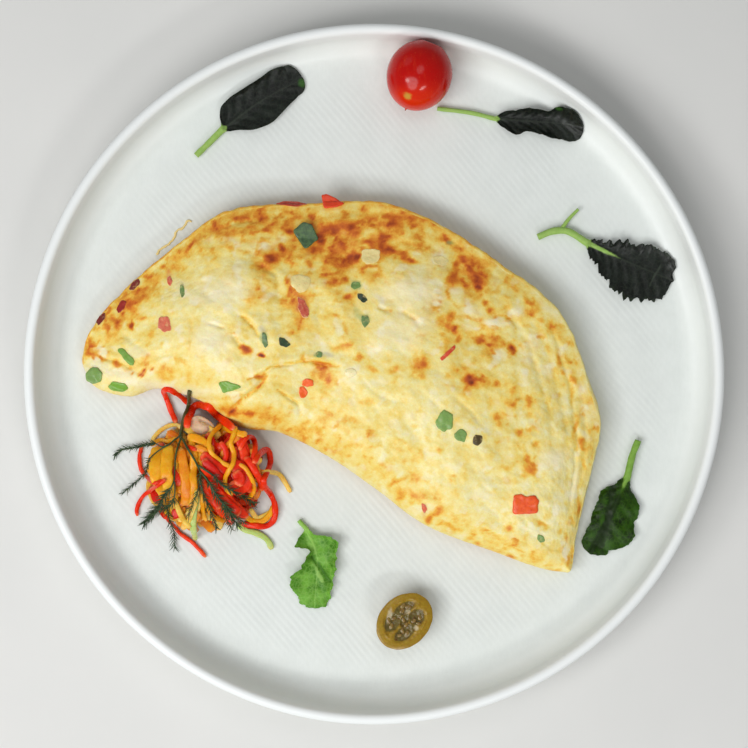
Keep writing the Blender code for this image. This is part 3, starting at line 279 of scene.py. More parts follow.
BITS = [
    ("green_dice", 0.36, 0.75, [(-31.5, 55), (-27.3, 58.7), (-24.1, 57.9), (-21.3, 52.1), (-26.4, 47.9)]),
    ("red_dice", 0.75, 0.7, [(53.6, -46.6), (56.4, -46.2), (58.4, -47.2), (62, -46.6), (63.3, -48.7), (63, -53.7), (53.1, -53.9)]),
    ("green", 0.85, 0.5, [(-99.4, 9.5), (-97.7, 10.7), (-91.9, 4.9), (-92.5, 2.9), (-94.2, 3.1)]),
    ("green", 0.7, 0.7, [(-111.8, 0.2), (-109.6, 2.6), (-107.0, 2.6), (-104.9, 0.2), (-105.6, -2.9), (-109.2, -3.9), (-111.4, -2.6)]),
    ("green", 0.95, 0.5, [(-103.2, -4.8), (-101.4, -2.9), (-96.2, -3.5), (-95, -5.8), (-97.2, -6.9), (-102.4, -6.4)]),
    ("green", 0.9, 0.5, [(-59.8, -3.4), (-55.9, -2.6), (-50.3, -5.1), (-55.2, -6.7), (-57.8, -7.5), (-58.9, -5.5)]),
    ("green", 0.2, 0.3, [(-36.3, 14.2), (-34.2, 13.6), (-31.6, 11.3), (-33.5, 9.9), (-36.2, 10.9)]),
    ("green", 0.12, 0.3, [(-6.6, 31.1), (-4.1, 30.7), (-2.2, 28.2), (-4, 27.1), (-6.2, 28.8)]),
    ("green", 0.75, 0.45, [(26.5, -12.9), (30.3, -16.2), (29.6, -20.8), (26, -22.3), (23.2, -19.5), (24.6, -15.8)]),
    ("green", 0.7, 0.4, [(32.6, -20.5), (35.7, -22.4), (34.8, -26.1), (31.8, -25.8), (30.4, -23.8)]),
    ("green", -0.12, 0.2, [(38.4, -23), (41.3, -23.4), (41.6, -25.8), (39.4, -27.8), (37.4, -26.6)]),
    ("green", 0.65, 0.25, [(63.1, -61.8), (65.3, -62.4), (66.1, -64.6), (64.1, -65.2), (62.8, -63.7)]),
    ("green", 0.55, 0.2, [(-21.4, 8.8), (-19.7, 8.3), (-20, 6.2), (-22.1, 6.4), (-22.5, 7.9)]),
    ("green", 0.5, 0.25, [(-4.9, 22.5), (-2, 22.2), (-1.5, 19.8), (-3.6, 17.3), (-4.9, 19.8)]),
    ("green", 0.6, 0.2, [(-8.4, 35.3), (-5.5, 35.4), (-4.8, 33.3), (-7.6, 32.2), (-9, 33.6)]),
    ("green", 0.45, 0.2, [(-42.6, 16.2), (-40.9, 15.1), (-40.3, 11.3), (-41.6, 9.5), (-42.8, 12.4)]),
    ("green", 0.5, 0.15, [(-74.6, 34.5), (-73, 33.7), (-72.6, 30.2), (-73.8, 29), (-74.7, 31.7)]),
    ("red", 0.3, 0.25, [(-83, 22), (-78.6, 22.3), (-77.7, 17.1), (-80.6, 15.8), (-83.2, 17.5)]),
    ("red", -0.1, 0.4, [(-100, 25.1), (-98.1, 28.6), (-95.9, 28.1), (-96.8, 25), (-98.9, 23.5)]),
    ("red", -0.35, 0.3, [(-108.2, 20.0), (-106.8, 22.7), (-104.4, 24.2), (-104.2, 21.6), (-106.6, 18.9)]),
    ("red", -0.35, 0.3, [(-95.2, 32.6), (-94.0, 35.6), (-91.2, 37.4), (-90.4, 35.4), (-93.4, 32.0)]),
    ("red", 0.35, 0.25, [(-80, 37.3), (-78.7, 38.1), (-77.6, 35.7), (-78.5, 33.7), (-79.8, 34.9)]),
    ("red", 0.1, 0.5, [(-39, 66), (-35.1, 67), (-29.7, 66.9), (-25.7, 65.8), (-29.4, 64.7), (-35.1, 65.2)]),
    ("red", 0.6, 1.4, [(-20.5, 69.3), (-18.3, 69.7), (-14.8, 68.1), (-11.2, 65.9), (-14.6, 64.4), (-19.4, 63.9)]),
    ("red", 0.9, 0.45, [(-27.7, -2.6), (-26, -1.8), (-23.1, -2.3), (-23.3, -4.6), (-25.9, -5), (-27.6, -4.4)]),
    ("red", 0.9, 0.45, [(-28.6, -5), (-26.9, -4.9), (-25.3, -6.8), (-26.2, -9), (-28.1, -9.3), (-28.8, -7.1)]),
    ("red", 0.5, 0.2, [(24.8, 5.7), (27.6, 8.5), (30.7, 11), (31.3, 9.8), (28.8, 7.3), (25.9, 4.8)]),
    ("red", 0.2, 0.2, [(-29.3, 29.7), (-26.7, 28.3), (-24.5, 24.7), (-25.1, 21.6), (-27.4, 21.4), (-29.1, 25.4)]),
    ("red", 0.4, 0.3, [(18.1, -49.5), (19.6, -50.1), (20.5, -52.3), (19.4, -54), (18.5, -52.3)]),
    ("pale", 0.5, 0.14, [(-4.9, 48.1), (2.6, 48), (1.5, 42.6), (-4.4, 42.1)]),
    ("pale", 0.75, 0.2, [(-11, 1.8), (-7.6, 2.1), (-6.4, 0.1), (-9.1, -1.5), (-11.6, -0.4)]),
    ("pale", 0.5, 0.1, [(-31.5, 37.4), (-27.5, 38.2), (-24.1, 36.2), (-24.8, 32), (-29.4, 31), (-31.9, 33.9)]),
    ("pale", 0.5, 0.08, [(22.5, 45.4), (26.3, 45.8), (29, 43.5), (26.7, 41.3), (23.2, 42.3)]),
]
HEAP_STRANDS = [
    ("green", 2.8, 1.3, 0.0, [(-68.1, -46.2), (-68.7, -49.7), (-69.7, -56.3), (-69.7, -64.7)]),
    ("green", 2.6, 1.2, 0.0, [(-53.8, -58.7), (-50.3, -61.0), (-45.6, -62.4), (-41.8, -64.8), (-39.9, -68.5)]),
    ("yellow", 1.6, 1.1, 0.0, [(-88.3, -41.4), (-88.3, -45.3), (-86.4, -49.6), (-83.9, -51.5)]),
    ("carrot", 6.0, 1.4, 0.0, [(-83.0, -28.1), (-83.8, -32.8), (-83.8, -37.4), (-82.2, -42.8), (-79.9, -47.5)]),
    ("carrot", 5.4, 1.4, 0.2, [(-79.4, -27.3), (-79.4, -32.7), (-79.8, -37.4), (-79.0, -42.8), (-77.8, -47.5)]),
    ("yellow", 1.9, 1.2, 0.0, [(-87.1, -28.2), (-85.9, -24.7), (-83.6, -22.1), (-79.8, -20.2), (-76.9, -19.8), (-73.8, -21.2)]),
    ("carrot", 1.8, 1.2, 0.0, [(-87.0, -28.1), (-83.9, -25.8), (-80.0, -26.2), (-76.1, -24.6)]),
    ("deep", 4.6, 1.3, 0.2, [(-75.0, -28.8), (-73.8, -32.6), (-72.6, -38.8), (-72.3, -45.0), (-72.6, -50.8)]),
    ("carrot", 3.4, 1.3, 0.2, [(-70.3, -25.7), (-69.2, -31.5), (-69.5, -37.3), (-69.2, -44.3), (-69.9, -51.2)]),
    ("carrot", 3.6, 1.3, 0.0, [(-71.9, -24.5), (-68.0, -24.9), (-64.5, -27.2), (-61.8, -30.3)]),
    ("deep", 3.0, 1.3, 0.0, [(-68.8, -28.0), (-64.9, -29.6), (-62.6, -32.6), (-61.8, -36.5)]),
    ("yellow", 2.2, 1.2, 0.0, [(-74.1, -58.4), (-71.7, -57.2), (-70.2, -53.7), (-68.6, -49.1), (-67.8, -44.4)]),
    ("carrot", 2.0, 1.2, 0.0, [(-66.5, -44.8), (-66.1, -49.1), (-65.9, -54.1), (-64.7, -56.8)]),
    ("yellow", 2.4, 1.1, 0.0, [(-76.8, -49.1), (-74.8, -53.7), (-72.9, -56.8), (-70.6, -59.1)]),
    ("carrot", 2.2, 1.2, 0.0, [(-65.1, -49.1), (-63.2, -53.7), (-60.1, -56.4), (-57.4, -57.2)]),
    ("deep", 2.6, 1.3, 0.0, [(-51.8, -24.2), (-54.9, -26.1), (-57.2, -28.8), (-58.8, -32.7)]),
    ("carrot", 3.0, 1.2, 0.0, [(-61.2, -19.5), (-56.5, -21.1), (-52.6, -22.6), (-48.8, -23.4)]),
    ("yellow", 2.4, 1.2, 0.0, [(-48.2, -52.3), (-45.8, -56.2), (-41.9, -55.0), (-39.6, -52.7)]),
    ("carrot", 2.4, 1.2, 0.0, [(-50.4, -54.6), (-47.3, -57.3), (-43.4, -57.3), (-40.7, -54.9), (-39.2, -51.1)]),
    ("red", 1.8, 1.3, 0.0, [(-90.9, -28.3), (-91.6, -31.0), (-91.6, -33.7), (-90.9, -37.8), (-88.1, -40.2), (-83.8, -41.9), (-80.7, -40.7)]),
    ("red", 1.8, 1.3, 0.0, [(-79.8, -40.3), (-83.4, -43.0), (-87.1, -45.4), (-90.9, -48.5), (-92.5, -52.4), (-92.5, -55.5)]),
    ("red", 1.7, 1.3, 0.0, [(-82.6, -50.8), (-81.0, -54.0), (-79.1, -56.7), (-77.1, -61.0), (-73.4, -64.1), (-69.7, -67.1), (-65.8, -71.5)]),
    ("red", 4.4, 1.4, 0.2, [(-66.1, -30.7), (-63.4, -33.0), (-59.9, -35.7), (-56.0, -37.7)]),
    ("red", 4.2, 1.4, 0.2, [(-65.7, -35.0), (-62.6, -38.8), (-59.1, -43.5), (-56.4, -47.3), (-52.5, -52.0), (-49.4, -55.9)]),
    ("red", 3.4, 1.4, 0.2, [(-66.5, -40.4), (-64.2, -45.5), (-61.9, -49.3), (-59.6, -52.0)]),
    ("red", 4.4, 1.4, 0.0, [(-62.7, -42.0), (-59.2, -46.6), (-54.5, -51.3), (-51.8, -54.0)]),
    ("deepred", 3.6, 1.4, 0.0, [(-65.3, -32.6), (-61.8, -36.5), (-57.9, -41.2), (-54.8, -45.0)]),
    ("red", 5.4, 1.4, 0.3, [(-55.2, -35.7), (-51.4, -35.7), (-49.0, -38.4), (-49.4, -42.7), (-52.5, -44.3), (-55.2, -41.9)]),
    ("red", 5.0, 1.4, 0.5, [(-53.3, -37.3), (-51.4, -40.0), (-52.5, -42.7)]),
    ("red", 2.4, 1.4, 0.0, [(-59.1, -26.1), (-57.4, -28.4), (-56.8, -31.5), (-57.9, -34.2)]),
    ("red", 1.6, 1.2, 0.0, [(-53.3, -28.0), (-53.1, -30.3), (-53.5, -32.6)]),
    ("red", 1.9, 1.3, 0.0, [(-72.3, -28.0), (-70.1, -28.4), (-68.1, -29.2)]),
    ("carrot", 2.0, 1.3, 0.3, [(-59.0, -19.5), (-61.7, -22.2), (-63.3, -25.7), (-62.9, -29.1), (-61.0, -31.8), (-57.9, -34.2), (-54.8, -35.7)]),
    ("carrot", 2.1, 1.3, 0.3, [(-53.2, -20.2), (-54.0, -23.3), (-54.9, -26.8), (-54.0, -30.3), (-54.0, -34.2), (-55.9, -37.2), (-57.1, -40.3), (-56.7, -43.8), (-54.4, -46.5)]),
    ("carrot", 1.9, 1.3, 0.4, [(-51.7, -34.5), (-49.4, -36.1), (-47.1, -39.8), (-46.1, -43.8), (-47.1, -46.5), (-49.4, -48.5)]),
    ("red", 2.3, 1.4, 0.3, [(-51.8, -29.2), (-50.8, -27.2), (-49.0, -24.5), (-47.1, -24.9), (-45.8, -28.8), (-46.3, -33.4), (-45.2, -38.1), (-43.6, -42.3)]),
    ("red", 3.0, 1.4, 0.3, [(-49.5, -31.9), (-47.2, -34.6), (-44.8, -38.9), (-43.3, -42.8), (-43.7, -45.1)]),
    ("red", 2.6, 1.5, 0.4, [(-46.1, -34.3), (-44.5, -31.2), (-42.0, -29.6), (-40.6, -31.9), (-40.8, -36.2), (-42.4, -40.9), (-42.0, -44.0), (-40.1, -47.5), (-38.7, -51.2), (-38.7, -55.4), (-40.6, -58.7), (-43.8, -59.5), (-47.6, -59.1), (-51.9, -58.5)]),
    ("yellow", 2.1, 1.2, 0.0, [(-43.6, -38.0), (-40.5, -38.0), (-37.5, -39.0), (-35.0, -41.9), (-32.7, -46.2)]),
    ("red", 2.4, 1.4, 0.2, [(-77.2, -19.1), (-79.3, -14.5), (-81.1, -9.4), (-81.6, -6.7), (-79.5, -6.0), (-76.4, -7.7), (-73.7, -10.4), (-72.0, -11.7)]),
    ("red", 3.4, 1.5, 0.2, [(-72.2, -21.0), (-71.8, -17.2), (-70.9, -13.5), (-68.3, -12.1), (-63.8, -12.9), (-61.4, -16.0), (-57.9, -18.3), (-53.6, -21.0)]),
]
SPRIG_TWIGS = [
    (1.6, 2.0, 0, 0, [(-71.1, -6.5), (-71.7, -9.1), (-72.3, -11.8), (-72.8, -14.1), (-73.5, -16.4), (-74.2, -19.5), (-74.6, -22.2), (-74.6, -24.9)]),
    (0.8, 0.42, 2.3, 0.24, [(-74.6, -22.6), (-75.3, -24.1), (-77.5, -25.9), (-79.6, -27.4), (-81.7, -28.0), (-84.2, -27.2), (-86.4, -27.0), (-89.3, -27.8), (-92.0, -28.4), (-95.5, -29.0), (-98.2, -29.4), (-101.3, -31.9)]),
    (0.8, 0.4, 2.4, 0.42, [(-76.5, -24.9), (-78.8, -27.0), (-81.5, -28.6), (-84.2, -30.5), (-86.4, -32.8), (-87.5, -35.4), (-88.9, -38.4), (-91.6, -41.0), (-94.7, -43.7), (-98.2, -46.6)]),
    (0.95, 0.5, 4.0, 0.24, [(-74.6, -24.9), (-75.5, -28.0), (-76.3, -32.3), (-76.5, -37.3), (-76.9, -41.2), (-78.4, -44.3), (-80.8, -47.0), (-82.7, -50.1), (-85.0, -52.8), (-87.3, -55.1), (-90.0, -58.6)]),
    (0.75, 0.3, 4.0, 0.28, [(-76.5, -41.2), (-76.5, -45.0), (-77.1, -48.5), (-79.0, -51.0), (-81.9, -52.2), (-84.2, -53.1), (-87.0, -55.9)]),
    (0.5, 0.15, 3.2, 0.45, [(-80.4, -50.8), (-79.2, -54.3), (-78.4, -58.2), (-78.1, -62.8), (-77.9, -68.2)]),
    (1.15, 0.4, 2.8, 0.5, [(-73.8, -24.9), (-72.6, -26.8), (-71.1, -29.2), (-69.4, -31.9), (-67.8, -34.6), (-66.8, -37.3), (-66.6, -41.2), (-65.8, -45.4), (-64.5, -48.9), (-63.4, -52.0), (-62.4, -55.1), (-61.0, -60.1)]),
    (0.7, 0.3, 2.4, 0.6, [(-66.8, -40.4), (-67.2, -43.5), (-68.1, -46.4), (-69.4, -49.3), (-70.5, -52.0), (-71.5, -55.1)]),
    (1.05, 0.25, 3.2, 0.36, [(-67.2, -35.0), (-64.9, -36.5), (-61.6, -38.8), (-59.9, -40.8), (-57.9, -42.7), (-55.6, -44.1), (-53.7, -45.0), (-51.8, -46.4), (-49.8, -47.7), (-48.3, -49.3), (-46.3, -50.8)]),
    (1.2, 0.2, 3.6, 0.3, [(-66.8, -37.3), (-64.9, -39.4), (-63.0, -42.1), (-61.6, -44.6), (-59.9, -47.2), (-58.3, -49.3), (-56.8, -51.6), (-55.2, -53.9), (-54.1, -56.2), (-52.9, -59.3)]),
    (0.65, 0.1, 3.0, 0.4, [(-59.1, -48.5), (-57.2, -50.1), (-55.6, -52.4), (-53.3, -54.7), (-50.6, -58.2)]),
    (0.5, 0.1, 2.8, 0.5, [(-58.3, -50.4), (-57.6, -53.1), (-56.8, -56.6), (-55.6, -61.3)]),
]
LACE = [(-85.2, 46.8), (-83.6, 48.7), (-81.2, 50.3), (-79.3, 51.8), (-78.1, 53.6), (-77.5, 55.4), (-76.4, 56.5), (-74.6, 57.3), (-73.0, 59.9), (-71.3, 59.7)]


# Noise over a plane, from about -1 to 1


def lattice(ix, iy, seed):
    mixed = (ix * 374761393 + iy * 668265263 + seed * 974634777) & 0xFFFFFFFF
    mixed = ((mixed ^ (mixed >> 13)) * 1274126177) & 0xFFFFFFFF
    return ((mixed ^ (mixed >> 16)) & 0xFFFF) / 65536.0


def ripple(x, y, size, seed):
    x = np.asarray(x, float) / size + 100
    y = np.asarray(y, float) / size + 100
    ix = np.floor(x).astype(np.int64)
    iy = np.floor(y).astype(np.int64)
    fx = x - ix
    fy = y - iy

    def corner(dx, dy):
        turn = lattice(ix + dx, iy + dy, seed) * TAU
        return np.cos(turn) * (fx - dx) + np.sin(turn) * (fy - dy)

    u = fx**3 * (fx * (fx * 6 - 15) + 10)
    v = fy**3 * (fy * (fy * 6 - 15) + 10)
    low = corner(0, 0) * (1 - u) + corner(1, 0) * u
    high = corner(0, 1) * (1 - u) + corner(1, 1) * u
    return (low * (1 - v) + high * v) * 1.6


def smoothstep(low, high, value):
    t = np.clip((value - low) / (high - low), 0, 1)
    return t * t * (3 - 2 * t)


# Paths


def smooth_path(points, fractions):
    """Places on a smooth curve through the points, by share of its length; any number of axes."""
    knots = np.array(points, dtype=float)
    padded = np.vstack([2 * knots[0] - knots[1], knots, 2 * knots[-1] - knots[-2]])
    steps = np.linspace(0, 1, 16, endpoint=False)[:, None]
    run = []
    for a, b, c, d in zip(padded, padded[1:], padded[2:], padded[3:]):
        bend = 2 * a - 5 * b + 4 * c - d
        twist = 3 * b - a - 3 * c + d
        run.append(0.5 * (2 * b + (c - a) * steps + bend * steps**2 + twist * steps**3))
    run = np.vstack(run + [knots[-1:]])
    lengths = np.append(0, np.cumsum(np.linalg.norm(np.diff(run[:, :2], axis=0), axis=1)))
    at = np.asarray(fractions) * lengths[-1]
    return np.column_stack([np.interp(at, lengths, run[:, axis]) for axis in range(run.shape[1])])


def smooth_value(stations, values, at):
    """Values on a smooth curve through the values at the stations."""
    stations = np.asarray(stations, float)
    values = np.asarray(values, float)
    slopes = np.gradient(values, stations)
    place = np.clip(np.searchsorted(stations, at) - 1, 0, len(stations) - 2)
    width = stations[place + 1] - stations[place]
    t = (at - stations[place]) / width
    start = (2 * t**3 - 3 * t**2 + 1) * values[place] + (t**3 - 2 * t**2 + t) * width * slopes[place]
    end = (3 * t**2 - 2 * t**3) * values[place + 1] + (t**3 - t**2) * width * slopes[place + 1]
    return start + end


def path_gap(x, y, path):
    """Distance to a polyline, the side (1 on its left) and the share along it, for many points."""
    best = np.full(x.shape, 1e9)
    side = np.ones(x.shape)
    share = np.zeros(x.shape)
    for i, (a, b) in enumerate(zip(path, path[1:])):
        run = b - a
        t = np.clip(((x - a[0]) * run[0] + (y - a[1]) * run[1]) / (run @ run), 0, 1)
        gap = np.hypot(x - a[0] - run[0] * t, y - a[1] - run[1] * t)
        closer = gap < best
        turn = run[0] * (y - a[1]) - run[1] * (x - a[0])
        best = np.where(closer, gap, best)
        side = np.where(closer, np.sign(turn), side)
        share = np.where(closer, (i + t) / (len(path) - 1), share)
    return best, side, share


# Meshes


def quads(rows, columns, wrap=True):
    """Faces of a grid of points, its columns joined into rings when wrap is set."""
    row = np.arange(rows - 1)[:, None]
    column = np.arange(columns if wrap else columns - 1)[None, :]
    a = row * columns + column
    b = row * columns + (column + 1) % columns
    return np.stack([a, b, b + columns, a + columns], axis=-1).reshape(-1, 4)


def capped(grid):
    """Points and faces of a closed body through rings of points, with a fan over each end."""
    rows, columns, _ = grid.shape
    points = np.vstack([grid.reshape(-1, 3), grid[0].mean(axis=0), grid[-1].mean(axis=0)])
    faces = quads(rows, columns).tolist()
    low = rows * columns
    last = (rows - 1) * columns
    for i in range(columns):
        j = (i + 1) % columns
        faces.append([j, i, low])
        faces.append([last + i, last + j, low + 1])
    return points, faces


def grid_normals(grid):
    """Outward normals of rings of points, by differences."""
    around = np.roll(grid, -1, axis=1) - np.roll(grid, 1, axis=1)
    along = np.gradient(grid, axis=0)
    normal = np.cross(along, around)
    return normal / np.maximum(np.linalg.norm(normal, axis=2, keepdims=True), 1e-12)


class Pile:
    """Bodies gathered into one mesh, each point with the same named values."""

    def __init__(self):
        self.points = []
        self.faces = []
        self.values = {}
        self.count = 0

    def add(self, points, faces, **values):
        self.points.append(np.asarray(points))
        self.faces += [[i + self.count for i in face] for face in faces]
        for name, value in values.items():
            spread = np.broadcast_to(np.asarray(value, float), (len(points),))
            self.values.setdefault(name, []).append(spread)
        self.count += len(points)

    def build(self, name, material, slot, replaces=(), recalc=True):
        mesh = bpy.data.meshes.new(name)
        mesh.from_pydata(np.vstack(self.points).tolist(), [], self.faces)
        if recalc:
            bm = bmesh.new()
            bm.from_mesh(mesh)
            bmesh.ops.recalc_face_normals(bm, faces=bm.faces)
            bm.to_mesh(mesh)
            bm.free()
        for label, parts in self.values.items():
            layer = mesh.attributes.new(label, "FLOAT", "POINT")
            layer.data.foreach_set("value", np.concatenate(parts).astype(np.float32))
        mesh.shade_smooth()
        mesh.materials.append(material)
        item = bpy.data.objects.new(name, mesh)
        bpy.context.scene.collection.objects.link(item)
        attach(item, "root")
        if replaces:
            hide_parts(*replaces)
        return item


def sweep(path, widths, heights, sides=8, roll=0.0, square=0.7):
    """A strand along a path in metres: rounded-square sections, rolled as it goes, closed at both ends."""
    path = np.asarray(path, float)
    count = len(path)
    ahead = np.gradient(path, axis=0)
    ahead /= np.maximum(np.linalg.norm(ahead, axis=1, keepdims=True), 1e-12)
    side = np.cross(ahead, np.array([0.0, 0.0, 1.0]))
    side /= np.maximum(np.linalg.norm(side, axis=1, keepdims=True), 1e-9)
    up = np.cross(side, ahead)
    angles = np.linspace(0, TAU, sides, endpoint=False)
    flat_x = np.sign(np.cos(angles)) * np.abs(np.cos(angles)) ** square
    flat_y = np.sign(np.sin(angles)) * np.abs(np.sin(angles)) ** square
    widths = np.broadcast_to(np.asarray(widths, float), (count,))
    heights = np.broadcast_to(np.asarray(heights, float), (count,))
    rolls = np.broadcast_to(np.asarray(roll, float), (count,))[:, None]
    across = flat_x[None, :] * widths[:, None] / 2
    above = flat_y[None, :] * heights[:, None] / 2
    turned_x = across * np.cos(rolls) - above * np.sin(rolls)
    turned_y = across * np.sin(rolls) + above * np.cos(rolls)
    grid = path[:, None] + side[:, None] * turned_x[..., None] + up[:, None] * turned_y[..., None]
    return capped(grid)


def tree_of(item):
    bm = bmesh.new()
    bm.from_mesh(item.data)
    tree = BVHTree.FromBMesh(bm)
    bm.free()
    return tree


def top_of(trees, x, y, lowest=REST * MM):
    """Height of the highest surface of several meshes over a plan point."""
    best = lowest
    for tree in trees:
        hit = tree.ray_cast(Vector((x, y, 1.0)), Vector((0, 0, -1)))[0]
        if hit is not None:
            best = max(best, hit.z)
    return best


# Materials


def srgb(red, green, blue):
    """A linear colour from display values out of 255."""
    parts = []
    for value in (red, green, blue):
        value /= 255
        parts.append(value / 12.92 if value <= 0.04045 else ((value + 0.055) / 1.055) ** 2.4)
    return (*parts, 1.0)


class Look:
    """A Principled material with short calls for its nodes."""

    def __init__(self, name, **sockets):
        self.material = bpy.data.materials.new(name)
        self.material.use_nodes = True
        self.tree = self.material.node_tree
        self.shader = self.tree.nodes["Principled BSDF"]
        for socket, value in sockets.items():
            self.shader.inputs[socket.replace("_", " ")].default_value = value
        self.place = self.tree.nodes.new("ShaderNodeTexCoord").outputs["Object"]

    def node(self, kind, **settings):
        made = self.tree.nodes.new(kind)
        for key, value in settings.items():
            setattr(made, key, value)
        return made

    def put(self, socket, value):
        if isinstance(value, bpy.types.NodeSocket):
            self.tree.links.new(value, socket)
        else:
            socket.default_value = value

    def value(self, name):
        return self.node("ShaderNodeAttribute", attribute_name=name).outputs["Fac"]

    def noise(self, size, detail=2.0, rough=0.5, stretch=None, turn=0.0, distort=0.0):
        """Noise with features about this many millimetres across, from 0 to 1."""
        made = self.node("ShaderNodeTexNoise")
        place = self.place
        if stretch is not None:
            mapping = self.node("ShaderNodeMapping")
            mapping.inputs["Rotation"].default_value = (0, 0, math.radians(turn))
            mapping.inputs["Scale"].default_value = stretch
            self.put(mapping.inputs["Vector"], place)
            place = mapping.outputs["Vector"]
        self.put(made.inputs["Vector"], place)
        made.inputs["Scale"].default_value = 1 / (size * MM)
        made.inputs["Detail"].default_value = detail
        made.inputs["Roughness"].default_value = rough
        made.inputs["Distortion"].default_value = distort
        return made.outputs["Fac"]

    def math(self, operation, a, b=0.0, clamp=False):
        made = self.node("ShaderNodeMath", operation=operation, use_clamp=clamp)
        self.put(made.inputs[0], a)
        self.put(made.inputs[1], b)
        return made.outputs[0]

    def sway(self, value, amount):
        """Noise from 0 to 1 as a swing of this much either way."""
        return self.math("MULTIPLY", self.math("SUBTRACT", value, 0.5), amount * 2)

    def ramp(self, value, stops, ease="LINEAR"):
        made = self.node("ShaderNodeValToRGB")
        made.color_ramp.interpolation = ease
        elements = made.color_ramp.elements
        for place, colour in stops[2:]:
            elements.new(place)
        for element, (place, colour) in zip(elements, sorted(stops)):
            element.position = place
            element.color = colour if len(colour) == 4 else (*colour, 1.0)
        self.put(made.inputs["Fac"], value)
        return made.outputs["Color"]

    def level(self, value, low, high, start=0.0, end=1.0):
        """The value's span from low to high as a smooth run from start to end."""
        made = self.node("ShaderNodeMapRange", interpolation_type="SMOOTHSTEP")
        self.put(made.inputs["Value"], value)
        made.inputs["From Min"].default_value = low
        made.inputs["From Max"].default_value = high
        made.inputs["To Min"].default_value = start
        made.inputs["To Max"].default_value = end
        return made.outputs["Result"]

    def mix(self, share, a, b, blend="MIX"):
        made = self.node("ShaderNodeMix", data_type="RGBA", blend_type=blend)
        made.clamp_result = True
        self.put(made.inputs[0], share)
        self.put(made.inputs[6], a)
        self.put(made.inputs[7], b)
        return made.outputs[2]

    def bump(self, height, reach, strength=1.0, under=None):
        """Relief of this many millimetres."""
        made = self.node("ShaderNodeBump")
        made.inputs["Strength"].default_value = strength
        made.inputs["Distance"].default_value = reach * MM
        self.put(made.inputs["Height"], height)
        if under is not None:
            self.put(made.inputs["Normal"], under)
        return made.outputs["Normal"]

    def finish(self, colour=None, roughness=None, normal=None):
        for socket, value in (("Base Color", colour), ("Roughness", roughness), ("Normal", normal)):
            if value is not None:
                self.put(self.shader.inputs[socket], value)
        return self.material


# Plate


def arc(centre, radius, start, end, count):
    angles = np.linspace(math.radians(start), math.radians(end), count)
    return [(centre[0] + radius * math.cos(a), centre[1] + radius * math.sin(a)) for a in angles]


def plate_look():
    look = Look("white_glaze", Roughness=0.42, Coat_Weight=0.12, Coat_Roughness=0.22)
    look.shader.inputs["Specular IOR Level"].default_value = 0.35
    wave = look.node("ShaderNodeTexWave", wave_type="BANDS", bands_direction="X", wave_profile="SIN")
    mapping = look.node("ShaderNodeMapping")
    mapping.inputs["Rotation"].default_value = (0, 0, math.radians(-40))
    look.put(mapping.inputs["Vector"], look.place)
    look.put(wave.inputs["Vector"], mapping.outputs["Vector"])
    wave.inputs["Scale"].default_value = TAU / (20 * 2.3 * MM)
    wave.inputs["Distortion"].default_value = 1.6
    wave.inputs["Detail"].default_value = 2.0
    wave.inputs["Detail Scale"].default_value = 0.35
    wave.inputs["Detail Roughness"].default_value = 0.6
    patchy = look.level(look.noise(16, 3, 0.6), 0.3, 0.7, 0.25, 1.0)
    ribs = look.math("MULTIPLY", wave.outputs["Fac"], patchy)
    ribs = look.math("MULTIPLY", ribs, look.value("ribbed"))
    grain = look.noise(1.1, 3, 0.6, stretch=(1.0, 0.25, 1.0), turn=-40)
    tint = look.mix(look.noise(30, 3, 0.55), srgb(223, 228, 224), srgb(229, 233, 230))
    tint = look.mix(look.level(grain, 0.2, 0.8, 0.0, 0.35), tint, srgb(216, 221, 216))
    tint = look.mix(look.math("MULTIPLY", ribs, 0.22), tint, srgb(198, 203, 199))
    tint = look.mix(look.level(look.noise(9, 4, 0.65), 0.35, 0.7, 0.0, 0.3), tint, srgb(212, 217, 213))
    # Painted light: the inner wall's glaze is made up to half way paler, standing in for light on the wall.
    tint = look.mix(look.level(look.value("wall"), 0.0, 1.0, 0.0, 0.5), tint, srgb(242, 246, 243))
    # Painted highlight: the lip's glaze is made paler, standing in for the bright glossy rim.
    tint = look.mix(look.value("lip"), tint, srgb(236, 239, 238))
    normal = look.bump(ribs, 0.05, 0.8)
    normal = look.bump(grain, 0.03, 0.8, normal)
    normal = look.bump(look.noise(7, 2), 0.05, 0.5, normal)
    roughness = look.level(look.noise(5, 3, 0.6), 0.25, 0.75, 0.36, 0.5)
    return look.finish(tint, roughness, normal)


